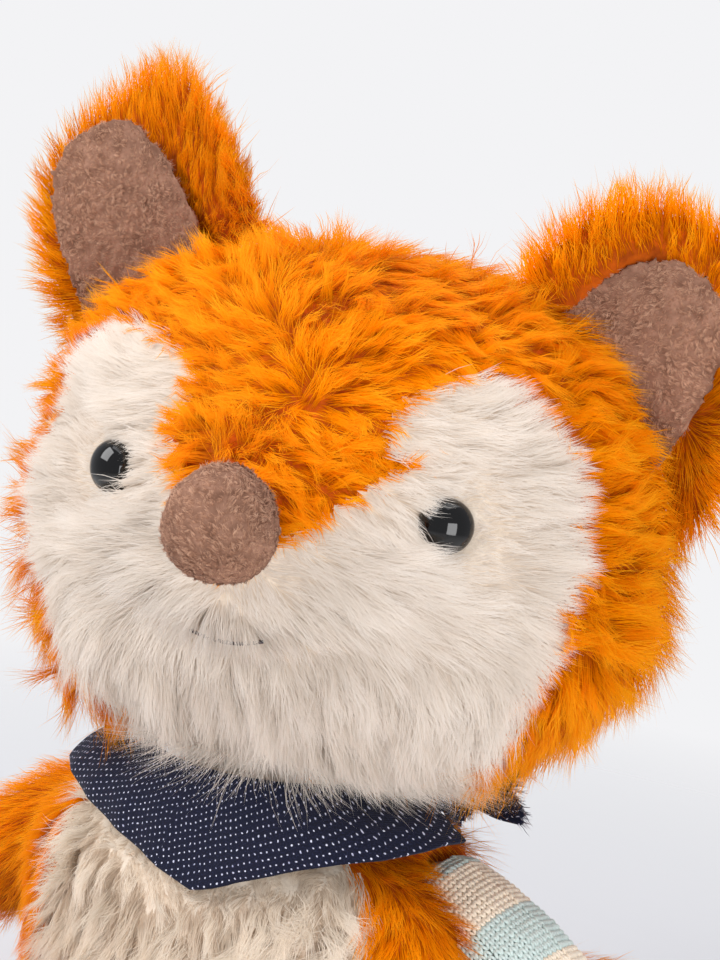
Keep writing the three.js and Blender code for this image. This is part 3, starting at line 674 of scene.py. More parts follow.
def chambray_material(cell=(2.4, 2.3), dot=(0.21, 0.19)):
    """Navy chambray with small white dots woven in, in staggered rows; sizes in millimetres."""
    shake, slant = 1.1, -0.42
    material, tree = new_material("dotted chambray")
    uv = output(tree, "ShaderNodeUVMap", uv_map="cloth")
    grain = output(tree, "ShaderNodeTexNoise", {"Vector": uv, "Scale": 2.6, "Detail": 4.0})
    jitter = output(tree, "ShaderNodeTexNoise", {"Vector": uv, "Scale": 0.5, "Detail": 1.0}, "Color")
    shaken = output(tree, VECTORS, (jitter, (shake, shake, 0.0), uv), operation="MULTIPLY_ADD")
    turned = output(tree, "ShaderNodeMapping", {"Vector": shaken, "Rotation": (0.0, 0.0, slant)})
    sharp = (cell[0] / dot[0], cell[1] / dot[1], 0.0)
    centred = (-0.5 * cell[0] / dot[0], -0.5 * cell[1] / dot[1], 0.0)
    marks = []
    for shift in (0.0, 0.5):
        size = (1 / cell[0], 1 / cell[1], 0.0)
        cells = output(tree, VECTORS, (turned, size, (shift, shift, 0.0)), operation="MULTIPLY_ADD")
        part = output(tree, VECTORS, (cells,), operation="FRACTION")
        from_middle = output(tree, VECTORS, (part, sharp, centred), operation="MULTIPLY_ADD")
        gap = output(tree, VECTORS, (from_middle,), "Value", operation="LENGTH")
        marks.append(output(tree, "ShaderNodeMapRange", {0: gap, 1: 0.75, 2: 1.3, 3: 1.0, 4: 0.0}))
    dots = output(tree, MATH, marks, operation="MAXIMUM")
    inputs = {"Vector": uv, "Scale": 1.0, "Distortion": 1.5}
    weft = output(tree, "ShaderNodeTexWave", inputs, "Fac")
    warp = output(tree, "ShaderNodeTexWave", inputs, "Fac", bands_direction="Y")
    weave = output(tree, MATH, (weft, warp), operation="MULTIPLY")
    navy = output(tree, RAMP, (grain,), stops=tones("navy_cloth", 0.34, 0.52, 0.7))
    woven = output(tree, RAMP, (weave,), stops=tones("navy_weave", 0.0, 1.0))
    navy = output(tree, MIX, {"Factor": 0.35, 6: navy, 7: woven}, 2, data_type="RGBA")
    white = output(tree, RAMP, (grain,), stops=tones("cloth_dots", 0.35, 0.6))
    colour = output(tree, MIX, {"Factor": dots, 6: navy, 7: white}, 2, data_type="RGBA")
    height = output(tree, MATH, (dots, 1.0, weave), operation="MULTIPLY_ADD")
    bump = output(tree, "ShaderNodeBump", {"Height": height, "Strength": 0.5, "Distance": 0.0004})
    inputs = {"Base Color": colour, "Roughness": 0.85, "Specular IOR Level": 0.2}
    surface(tree, {**inputs, "Sheen Weight": 0.06, "Sheen Roughness": 0.4, "Normal": bump})
    return material


def eye_material():
    """Polished black acrylic of a safety eye: mirror smooth, with the faintest brown depth."""
    material, tree = new_material("eye acrylic")
    haze = object_noise(tree, scale=900.0)
    colour = output(tree, RAMP, (haze,), stops=tones("eye_acrylic", 0.3, 0.8))
    rough = output(tree, "ShaderNodeMapRange", {0: haze, 3: 0.03, 4: 0.07})
    surface(tree, {"Base Color": colour, "Roughness": rough, "IOR": 1.49})
    return material


def nylon_material():
    """Moulded nylon of the washers behind the eyes: pale, slightly waxy and matt."""
    material, tree = new_material("washer nylon")
    cloud = object_noise(tree, scale=400.0)
    colour = output(tree, RAMP, (cloud,), stops=tones("washer_nylon", 0.3, 0.7))
    surface(tree, {"Base Color": colour, "Roughness": 0.45, "IOR": 1.53})
    return material


def thread_material():
    """Grey embroidery thread of the mouth: two fine plies with a dull gloss."""
    material, tree = new_material("mouth thread")
    place = output(tree, "ShaderNodeTexCoord", which="Object")
    ply = output(tree, "ShaderNodeTexWave", {"Vector": place, "Scale": 900.0}, "Color")
    colour = output(tree, RAMP, (ply,), stops=tones("mouth_thread", 0.0, 1.0))
    surface(tree, {"Base Color": colour, "Roughness": 0.7})
    return material


# Settings


def number(name, description, default, **more):
    return FloatProperty(name=name, description=description, default=default, **more)


def length(name, description, default):
    return number(name, f"{description}, in millimetres", default)


def angle(name, description, degrees):
    return number(name, description, math.radians(degrees), subtype="ANGLE")


def palette_colour(finish, number):
    """The setting for one colour of the palette."""
    return FloatVectorProperty(
        name=f"{finish.replace('_', ' ').capitalize()} {number + 1}",
        description="Counted from the root to the tip of a pile, or else from dark to pale",
        default=linear(PALETTE[finish][number])[:3],
        subtype="COLOR",
        min=0,
        max=1,
    )


class FoxColourSettings(bpy.types.PropertyGroup):
    """One setting for each colour of the palette"""

    __annotations__ = {
        f"{finish}_{number}": palette_colour(finish, number)
        for finish, codes in PALETTE.items()
        for number in range(len(codes))
    }


class FoxFurSettings(bpy.types.PropertyGroup):
    face_density: number("Face density", "Strands per square millimetre on the face", 4.2)
    coat_density: number("Coat density", "Strands per square millimetre elsewhere", 1.2)
    strand_width: length("Strand width", "Width of a strand at its root", 0.18)
    cheek_pile: length("Cheek pile", "Length of the cream fur on the face", 17.0)
    coat_pile: length("Coat pile", "Length of the orange fur", 13.0)
    belly_pile: length("Belly pile", "Length of the fur on the belly", 14.0)
    ear_pile: length("Ear pile", "Length of the fur on the ears", 12.0)
    fleece_pile: length("Fleece pile", "Length of the curls on nose and linings", 1.2)
    clump: length("Clump size", "Distance between clumps of strands", 3.6)


class FoxKnitSettings(bpy.types.PropertyGroup):
    wale: length("Wale", "Width of one column of stitches", 1.8)
    course: length("Course", "Height of one row of stitches", 1.5)
    band: length("Band", "Width of each coloured band", 14.0)
    first_band: length("First band", "Where the first cream band starts", -1.5)


class FoxClothSettings(bpy.types.PropertyGroup):
    band: length("Band", "Height of the cloth round the neck", 14.0)
    point: length("Point", "How much lower the point hangs", 12.5)
    spread: number("Spread", "Angle over which the point widens, in degrees", 68.0)
    turn: number("Turn", "Angle of the point to the fox's left, in degrees", 14.0)
    lift: length("Lift", "Height of the cloth over the torso", 4.2)
    thickness: length("Thickness", "Thickness of the folded cloth", 1.1)


class FoxStageSettings(bpy.types.PropertyGroup):
    azimuth: angle("Azimuth", "Camera's turn to the fox's left", 34)
    elevation: angle("Elevation", "Camera's rise", 7)
    roll: angle("Roll", "Camera's lean", 7.8)
    distance: length("Distance", "From the camera to the head", 500.0)
    lens: length("Focal length", "For a 36 mm tall sensor", 72.2)
    aim_side: length("Aim to the side", "Aim right of the neck's axis", 13.1)
    aim_height: length("Aim height", "Height of the aim", 186.0)


# Pieces


def two_backings(thing, cream):
    """Gives the faces of a skin whose corners are cream the cream backing."""
    thing.data.materials.append(backing_material("cream"))
    which = [int(cream[p.vertices[0]] > 0.5) for p in thing.data.polygons]
    thing.data.polygons.foreach_set("material_index", which)


def settled(skin, name, body, slot, material, fill, *nodes):
    """A stuffed skin that stands for some nodes and rides on a body."""
    thing = new_object(name, skin, material)
    belongs(thing, body, slot, *nodes)
    return thing


def plush_skin(name, nodes, body, voxel, inset, fill, backing="orange", slot="orange_plush"):
    """A settled skin over some nodes, with the positions and normals of its vertices."""
    mesh = remeshed_form(nodes, voxel, inset)
    skin = settled(mesh, name, body, slot, backing_material(backing), fill, *nodes)
    return skin, *vertex_arrays(mesh)


def thicken(thing, thickness, offset):
    solid = thing.modifiers.new("thickness", "SOLIDIFY")
    solid.thickness = thickness * MM
    solid.offset = offset


def fur_values(fur, density, pile, clump=1.0, **more):
    """Inputs of the fur group in metres, where _ in the name of a further one is a space."""
    return {
        "Density": density * 1e6,
        "Pile": pile * MM,
        "Strand Width": fur.strand_width * MM,
        "Clump Size": fur.clump * clump * MM,
        **{name.replace("_", " "): value for name, value in more.items()},
    }


def comb(mesh, directions, lift):
    """Stores the fur's direction: along the surface, raised by lift towards the normal."""
    _, normals = vertex_arrays(mesh)
    flat = unit(directions - (directions * normals).sum(-1, keepdims=True) * normals)
    store(mesh, "flow", "FLOAT_VECTOR", unit(flat + normals * np.asarray(lift)[..., None]))


class FoxHead(bpy.types.Operator):
    """Head: orange crown and cheeks, cream face and the stuffed skin below them"""

    bl_idname = "fox.head"
    bl_label = "Head"

    # No fur grows this near the middle of an eye, the nose and the neck, in millimetres
    BARE_EYE = 6.0
    BARE_NOSE = 12.5
    BARE_NECK = 29

    def execute(self, context):
        fur = context.scene.fox_fur
        centre, nose = box_centre("head", "face_panel"), box_centre("nose")
        mesh = cast_form(["head", "face_panel"], centre, columns=150, rows=96, inset=0.5 * MM)
        backing = backing_material("orange")
        skin = settled(mesh, "head_skin", "head", "orange_plush", backing, 0.9, "head", "face_panel")
        points, normals = vertex_arrays(mesh)
        offset = points - centre
        local = np.stack([offset @ HEAD_RIGHT, offset @ HEAD_FRONT, offset[:, 2]], 1) / MM
        side, front, height = local.T
        aside = np.abs(side)
        comb(mesh, *self.flow(points, local, nose))
        cream = owners_of(mesh)

        # A crease under the muzzle that rises to both sides, as a smile, and a slimmer far jowl
        smile = height + 28 - side**2 / 90
        crease = bell(smile, 0, 4.5) * (1 - smooth_step(aside, 20, 34)) * (front > 20)
        below = bell(smile, -11, 7) * (1 - smooth_step(aside, 26, 44)) * (front > 20)
        jowl = np.exp(-((local - [-46, 12, -44]) ** 2 / np.array([18, 26, 16]) ** 2).sum(1))
        points = points - normals * (4.5 * crease + 1.5 * below - 8 * jowl)[:, None] * MM
        move_vertices(mesh, points)

        # The orange reaches down the bridge of the nose, and up from below at both sides
        reach = np.where(side > 0, side - 13, -side - 9)
        bridge = (front > 20) * (height > 0.9 * reach) * (side > -22)
        under = -height - 46 - 0.52 * (62 - side) > 0
        far_under = -height - 32 - 0.85 * (side + 58) > 0
        cream[bridge * (height < 20) | under * (side > 30) | far_under * (side < -20)] = 0
        edge = gap_to(points, points[cream < 0.5])
        outside = smooth_step(aside, 40, 58) * np.where(side > 0, 1.9, 1.0)
        cream = cream * (edge > 4 * outside)
        from_cream = gap_to(points, points[cream > 0.5])
        two_backings(skin, cream)

        # Short fur round the eyes and the nose and in the crease, long below the cheeks
        eyes = [np.linalg.norm(points - eye_frame(name)[0], axis=1) for name, _ in SIDES]
        eye_gap = np.min(eyes, axis=0) / MM
        nose_gap = np.linalg.norm(points - nose, axis=1) / MM
        neck_gap = np.linalg.norm(points - box_centre("neck"), axis=1) / MM
        bare = (eye_gap < self.BARE_EYE) | (nose_gap < self.BARE_NOSE) | (neck_gap < self.BARE_NECK)
        open_skin = np.where(bare, 0.0, 1.0)
        inner = smooth_step(42 - aside, -2, 3)
        pile = 0.22 + 0.78 * smooth_step(eye_gap + 9 * inner, 8, 24)
        near_nose = 0.45 + 0.55 * smooth_step(nose_gap, 14, 34)
        pile *= 1 + 0.35 * smooth_step(-height, 34, 60)
        pile *= 1 - 0.6 * crease
        hanging = smooth_step(-height, 26, 44)
        at_border = 1 - smooth_step(edge - 4 * outside, 0, 16)
        cream_pile = pile * near_nose * (1 - 0.55 * (1 - hanging) * at_border)
        orange_pile = pile * (0.6 + 0.4 * smooth_step(from_cream, 0, 10))
        orange_pile *= 1 + 0.35 * smooth_step(-height, -6, 24) * smooth_step(aside, 30, 50)
        orange_pile *= 0.78 + 0.22 * smooth_step(-front, -30, 10)

        places = (0.0, 0.4, 1.0)
        cream_fur = fur_material("cream fur", "cream", places, clear=0.7, shine=0.15)
        look = {"gloss": "#ff9a10", "clear": 0.6, "shine": 0.15}
        orange_fur = fur_material("orange fur", "orange", places, **look)
        for number, (name, sign) in enumerate(SIDES):
            half = cream * open_skin * (side * sign >= 0)
            steer = {"Sway": 0.3, "Wave": 0.0011, "Sway_Size": 16 * MM, "Clump_Pull": 0.42}
            values = fur_values(fur, fur.face_density, fur.cheek_pile, clump=1.1, **steer, Seed=11 + number)
            grow_fur(f"face_fur_{name}", skin, "head", "cream_plush", cream_fur, half, cream_pile, values)
        orange = (1 - cream) * open_skin
        ahead = front > 5
        for number, (name, sign) in enumerate(SIDES):
            half = orange * (ahead & (side * sign >= 0))
            steer = {"Sway": 0.85, "Wave": 0.0018, "Sway_Size": 10 * MM, "Seed": 15 + number}
            values = fur_values(fur, fur.face_density, fur.coat_pile, clump=0.85, **steer)
            grow_fur(f"crown_fur_{name}", skin, "head", "orange_plush", orange_fur, half, orange_pile, values)
        steer = {"Sway": 0.22, "Wave": 0.0012, "Strand_Width": fur.strand_width * MM * 1.4, "Seed": 14}
        values = fur_values(fur, fur.coat_density, fur.coat_pile, **steer)
        back = orange * ~ahead
        grow_fur("nape_fur", skin, "head", "orange_plush", orange_fur, back, orange_pile, values, segments=2)
        self.mouth(centre)
        self.neck(fur, cream_fur)
        return {"FINISHED"}

    @staticmethod
    def mouth(centre):
        """A grey thread along the crease, half hidden in the fur."""
        tree = BVHTree.FromObject(bpy.data.objects["head_skin"], bpy.context.evaluated_depsgraph_get())
        above_skin, radius, evenings = 6.0 * MM, 0.45 * MM, 12
        line = []
        for side in np.linspace(-12, 8, 40):
            height = -28.3 + (side + 3) ** 2 / 55
            start = centre + (HEAD_RIGHT * side + HEAD_FRONT * 120 + UP * height) * MM
            place, _, _, _ = tree.ray_cast(Vector(start), Vector(-HEAD_FRONT))
            line.append(np.array(place) + HEAD_FRONT * above_skin)
        for _ in range(evenings):
            line[1:-1] = [(a + b + c) / 3 for a, b, c in zip(line, line[1:], line[2:])]
        thing = new_object("mouth_thread", tube(line, radius, sides=8), thread_material())
        belongs(thing, "head", "black_plastic")

    @staticmethod
    def neck(fur, cream_fur):
        """The neck's ball, with short fur between the chin and the neckerchief."""
        size = {"voxel": 2.4, "inset": 4, "fill": 0.8}
        skin, points, _ = plush_skin("neck_skin", ["neck"], "neck", **size, backing="cream")
        comb(skin.data, -UP + 0 * points, 0.6)
        values = fur_values(fur, density=1.6, pile=5.0, Sway=0.3, Wave=0.001, Seed=19)
        grow_fur("neck_fur", skin, "neck", "orange_plush", cream_fur, 1, 1, values, segments=2)

    @staticmethod
    def flow(points, local, nose):
        """Sideways from the muzzle, down over the cheeks, and parted along the forehead."""
        side, front, height = local.T
        away = unit(points - nose)
        down = -UP[None]
        out = HEAD_RIGHT[None] * np.sign(side)[:, None]
        low = smooth_step(-height, 12, 32)[:, None]
        spread = HEAD_RIGHT[None] * np.tanh(side / 30)[:, None]
        hanging = down + 0.4 * spread + 0.45 * HEAD_FRONT + 0.15 * away
        cheek = (1 - low) * (away + 0.35 * out) + low * hanging
        parting = side + 2 + 9 * np.sin(height / 7)
        from_parting = smooth_step(np.abs(parting), 0, 16)[:, None]
        brow_out = HEAD_RIGHT[None] * np.sign(parting)[:, None] * (0.3 + 0.7 * from_parting)
        rise = smooth_step(height, 22, 50)[:, None] - 0.75 * (1 - smooth_step(height, 8, 26)[:, None])
        forehead = brow_out + 0.45 * rise * UP + 0.15 * HEAD_FRONT
        brow = smooth_step(front, -5, 15) * smooth_step(height, -4, 8) * smooth_step(46 - np.abs(side), 0, 12)
        brow = np.maximum(brow, smooth_step(front, -5, 15) * smooth_step(height, 34, 46))[:, None]
        behind = down - 0.5 * HEAD_FRONT + 0.25 * out
        ahead = smooth_step(front, -15, 15)[:, None]
        flow = ahead * (brow * forehead + (1 - brow) * cheek) + (1 - ahead) * behind
        lift = 0.5 + 0.35 * smooth_step(-front, -25, 0) * smooth_step(-height, -30, 10)
        return flow, lift + 0.9 * brow[:, 0] * (1 - from_parting[:, 0])


def eye_frame(side_name):
    """The middle of an eye's base and the direction that it looks in."""
    base_to_front = 5.8 * MM
    points = node_points(f"eye_{side_name}")
    gaps = np.linalg.norm(points[:, None] - points[None], axis=2)
    first, second = np.unravel_index(gaps.argmax(), gaps.shape)
    ends = sorted((points[first], points[second]), key=lambda p: p @ HEAD_FRONT)
    axis = unit(ends[1] - ends[0])
    return ends[1] - axis * base_to_front, axis


class FoxEyes(bpy.types.Operator):
    """Eyes: polished domes with a thin rim, and the washers behind them"""

    bl_idname = "fox.eyes"
    bl_label = "Eyes"

    def execute(self, context):
        material, nylon = eye_material(), nylon_material()
        radius, height = 6.5, 5.0
        profile = [(2.3, -16.5), (2.3, -1.2), (6.2, -1.2), (radius, -0.8), (radius, 0.6)]
        for rise in np.linspace(0.04, math.pi / 2 - 0.02, 18):
            profile.append((radius * math.cos(rise), 0.8 + height * math.sin(rise)))
        for side, _ in SIDES:
            base, axis = eye_frame(side)
            if side == "right":
                # This eye stands a little further out along the face than its solid
                base = base - (HEAD_RIGHT * 2.2 + HEAD_FRONT * 1.4) * MM
            thing = new_object(f"eye_dome_{side}", self.lathe(profile, sides=56), material)
            turn = Vector(axis).to_track_quat("Z", "Y").to_matrix().to_4x4()
            thing.data.transform(Matrix.Translation(Vector(base)) @ turn)
            belongs(thing, "head", "black_plastic", f"eye_{side}")
            washer = frame["nodes"][f"eye_washer_{side}"].data.materials
            washer.clear()
            washer.append(nylon)
        return {"FINISHED"}

    @staticmethod
    def lathe(profile, sides):
        """A closed turned form round Z; the top's middle lies a hair above the last ring."""
        points = [(0, 0, profile[0][1] * MM)]
        for radius, height in profile:
            for step in range(sides):
                angle = step / sides * 2 * math.pi
                points.append((radius * MM * math.cos(angle), radius * MM * math.sin(angle), height * MM))
        points.append((0, 0, (profile[-1][1] + 0.002) * MM))
        last = len(points) - 1
        faces = []
        for step in range(sides):
            after = (step + 1) % sides
            faces.append([0, 1 + after, 1 + step])
            for ring in range(len(profile) - 1):
                low = 1 + ring * sides
                faces.append([low + step, low + after, low + sides + after, low + sides + step])
            top = 1 + (len(profile) - 1) * sides
            faces.append([top + step, top + after, last])
        return mesh_of(points, faces)


class FoxTorso(bpy.types.Operator):
    """Torso: stuffed skin with the orange sides and back and the curly cream belly"""

    bl_idname = "fox.torso"
    bl_label = "Torso"

    # Where the torso's axis stands in front of the origin, in millimetres
    AXIS = 5

    def execute(self, context):
        fur = context.scene.fox_fur
        centre = box_centre("torso")
        mesh = cast_form(["torso", "belly_panel"], centre, columns=140, rows=90, inset=2.5 * MM)
        backing = backing_material("orange")
        skin = settled(mesh, "torso_skin", "torso", "orange_plush", backing, 0.9, "torso", "belly_panel")
        points, normals = vertex_arrays(mesh)
        height = points[:, 2] / MM
        near_belly = distances(points, "belly_panel") < 7
        belly_back = node_points("belly_panel")[:, 1].max() + 4 * MM
        cream = np.maximum(owners_of(mesh), near_belly * (points[:, 1] < belly_back))
        turn = self.turn(points)
        cream[(turn > 65) * (height > 30)] = 0
        two_backings(skin, cream)
        arm_gap = distances(points, "arm_left", "arm_right")
        open_skin = (distances(points, "leg_left", "leg_right", "tail", "neck") > 4.5) * (height > 5)
        open_skin = open_skin * ((arm_gap > 2) | (turn < 90))
        cuff = (1 - smooth_step(arm_gap, 5, 15)) * (1 - cream)
        under_cloth = smooth_step(distances(points, "neckerchief"), 5, 12)
        out = np.stack([np.sign(points[:, 0]), 0 * height, 0 * height], 1)
        points = points + normals * self.fullness(points)[:, None] * MM
        move_vertices(mesh, points)
        comb(mesh, -UP + (0.1 + 0.6 * cuff)[:, None] * out, 0.55 + 0.5 * cuff)
        height = points[:, 2] / MM
        pile = (0.55 + 0.45 * smooth_step(height, 4, 20)) * (0.2 + 0.8 * under_cloth)
        shoulder = bell(turn, 82, 24) * smooth_step(height, 25, 45)
        pile = pile * (1 - 0.3 * shoulder)
        cream_fur = fur_material("belly fur", "belly", (0.0, 0.4, 1.0))
        steer = {"Sway": 0.7, "Wave": 0.0028, "Wave_Size": 7 * MM, "Fray": 0.14, "Seed": 21}
        values = fur_values(fur, fur.face_density, fur.belly_pile, clump=1.3, **steer)
        coat = cream * open_skin
        grow_fur("belly_fur", skin, "torso", "cream_plush", cream_fur, coat, pile, values)
        values = fur_values(fur, fur.coat_density, fur.coat_pile, Sway=0.3, Wave=0.0012, Seed=22)
        orange_fur = bpy.data.materials["orange fur"]
        coat = (1 - cream) * open_skin * (1 + 2.2 * shoulder)
        grow_fur("torso_fur", skin, "torso", "orange_plush", orange_fur, coat, pile, values, segments=2)
        return {"FINISHED"}

    @classmethod
    def turn(cls, points):
        """Angle in degrees of each point round the torso, from straight ahead to either side."""
        return np.degrees(np.arctan2(np.abs(points[:, 0]), -(points[:, 1] + cls.AXIS * MM)))

    @classmethod
    def fullness(cls, points):
        """The shoulders bulge in front of the arms, with a crease between them and the belly."""
        turn, height = cls.turn(points), points[:, 2] / MM
        bulge, crease = 14 * bell(turn, 81, 14), 3 * bell(turn, 60, 6)
        return bell(height, 62, 30) * (1 - smooth_step(height, 78, 96)) * (bulge - crease)


def joint_place(name):
    joint = next(j for j in frame["joints"] if j["name"] == name)
    return np.array(joint["pos_m"])


class FoxLimbs(bpy.types.Operator):
    """Right arm and legs: stuffed skins with combed fur"""

    bl_idname = "fox.limbs"
    bl_label = "Limbs"

    def execute(self, context):
        fur = context.scene.fox_fur
        orange_fur = bpy.data.materials["orange fur"]
        joints = {"arm_right": "arm_right_raise", "leg_left": "leg_left_lift", "leg_right": "leg_right_lift"}
        for number, (name, joint) in enumerate(joints.items()):
            skin, points, _ = plush_skin(f"{name}_skin", [name], name, voxel=2.6, inset=3, fill=0.85)
            root, height = joint_place(joint), points[:, 2] / MM
            reach = unit((box_centre(name) - root)[None])
            comb(skin.data, reach + 0.35 * unit(points - root) - 0.3 * UP, 0.5)
            seen = (distances(points, "torso", "belly_panel") > 4) * (height > 4)
            pile = 0.6 + 0.4 * smooth_step(height, 3, 16)
            steer = {"Sway": 0.28, "Wave": 0.0012, "Seed": 31 + number}
            values = fur_values(fur, fur.coat_density, fur.coat_pile, **steer)
            grow_fur(f"{name}_fur", skin, name, "orange_plush", orange_fur, seen, pile, values)
        return {"FINISHED"}


class FoxFleece(bpy.types.Operator):
    """Nose and ear linings: brown fleece with a short curled nap"""

    bl_idname = "fox.fleece"
    bl_label = "Nose and ear linings"

    # The nose stands this much larger than its solid, for its nap, and the felt's lumps are this wide
    NOSE_SCALE = 1.07
    LUMP = 1.8 * MM

    def execute(self, context):
        fur = context.scene.fox_fur
        material = fleece_material()
        backing = backing_material("brown")
        fills = {"nose": 1.0, "ear_lining_left": 0.2, "ear_lining_right": 0.2}
        for number, (name, fill) in enumerate(fills.items()):
            mesh = remeshed_form([name], voxel=0.9, inset=0.5)
            points, normals = vertex_arrays(mesh)
            if name == "nose":
                points = points.mean(0) + (points - points.mean(0)) * self.NOSE_SCALE
                ahead = 1
            else:
                points = self.widened(points)
                ahead = normals @ HEAD_FRONT > -0.2
            bumps = np.array([noise.voronoi(Vector(p) / self.LUMP)[0][0] for p in points])
            move_vertices(mesh, points + normals * (0.45 - bumps)[:, None] * MM)
            skin = settled(mesh, f"{name}_skin", "head", "brown_felt", backing, fill, name)
            comb(mesh, np.cross(normals, UP[None]) + 0.3 * UP, 0.7)
            steer = {"Strand_Width": 0.11 * MM, "Clump_Pull": 0.5, "Wave_Size": 1.2 * MM}
            steer |= {"Sway": 1.6, "Wave": 0.0006, "Seed": 51 + number}
            values = fur_values(fur, 13.0, fur.fleece_pile, clump=0.34, **steer)
            form = {"bend": 0.5, "segments": 2}
            grow_fur(f"{name}_nap", skin, "head", "brown_felt", material, ahead, 1, values, **form)
        return {"FINISHED"}

    @staticmethod
    def widened(points):
        """A lining spread towards the edges of its ear, so that the fur's roots hide its own edge."""
        middle = points.mean(0)
        along = unit((points[points[:, 2].argmax()] - points[points[:, 2].argmin()])[None])
        offset = points - middle
        height = (offset * along).sum(1)[:, None]
        share = (height - height.min()) / np.ptp(height)
        rise = height * along
        wide = (offset - rise) * (1.05 + 0.16 * share)
        shift = HEAD_FRONT - 1.5 * along
        if middle[0] > 0.05:
            shift = shift - HEAD_RIGHT * (9 + 9 * (1 - share)) + (3 * HEAD_FRONT - 14 * along) * (1 - share)
        return middle + wide + rise * 1.2 + shift * MM


class FoxEars(bpy.types.Operator):
    """Ears: cupped orange plush with fur that fans out from the lining"""

    bl_idname = "fox.ears"
    bl_label = "Ears"

    def execute(self, context):
        fur = context.scene.fox_fur
        orange_fur = bpy.data.materials["orange fur"]
        for number, (side, _) in enumerate(SIDES):
            name = f"ear_{side}"
            skin, points, _ = plush_skin(f"{name}_skin", [name], "head", voxel=2.2, inset=1.5, fill=0.5)
            lining, _ = vertex_arrays(bpy.data.objects[f"ear_lining_{side}_skin"].data)
            head_gap, gap = distances(points, "head"), gap_to(points, lining)
            root = points[np.argsort(head_gap)[:40]].mean(0)
            rise = unit((points[np.argmax(np.linalg.norm(points - root, axis=1))] - root)[None])
            comb(skin.data, unit(points - box_centre(f"ear_lining_{side}")) * 0.8 + rise * 0.55, 0.42)
            seen = (gap > 2.5) * (head_gap > 3)
            pile = 0.45 + 0.55 * smooth_step(gap, 2, 9)
            values = fur_values(fur, 2.3, fur.ear_pile, Sway=0.28, Wave=0.0012, Seed=41 + number)
            grow_fur(f"{name}_fur", skin, "head", "orange_plush", orange_fur, seen, pile, values)
        return {"FINISHED"}


class FoxTail(bpy.types.Operator):
    """Tail: one curved stuffed skin, orange with a cream tip"""

    bl_idname = "fox.tail"
    bl_label = "Tail"

    def execute(self, context):
        fur = context.scene.fox_fur
        nodes = ["tail", "tail_tip"]
        skin, points, _ = plush_skin("tail_skin", nodes, "tail", voxel=2.6, inset=1.5, fill=0.8)
        root, height = joint_place("tail_sway"), points[:, 2] / MM
        tip = distances(points, "tail_tip") < distances(points, "tail")
        reach = unit(box_centre("tail_tip") - root)
        comb(skin.data, reach[None] + 0.5 * unit(points - root), 0.5)
        seen = (distances(points, "torso") > 4) * (height > 3)
        pile = 0.5 + 0.5 * smooth_step(height, 3, 16)
        for name, colour, part, seed in (("tail", "orange", ~tip, 61), ("tip", "cream", tip, 62)):
            values = fur_values(fur, fur.coat_density, fur.coat_pile * 1.2, Sway=0.25, Wave=0.0014, Seed=seed)
            material = bpy.data.materials[f"{colour} fur"]
            grow_fur(f"{name}_fur", skin, "tail", f"{colour}_plush", material, seen * part, pile, values)
        return {"FINISHED"}


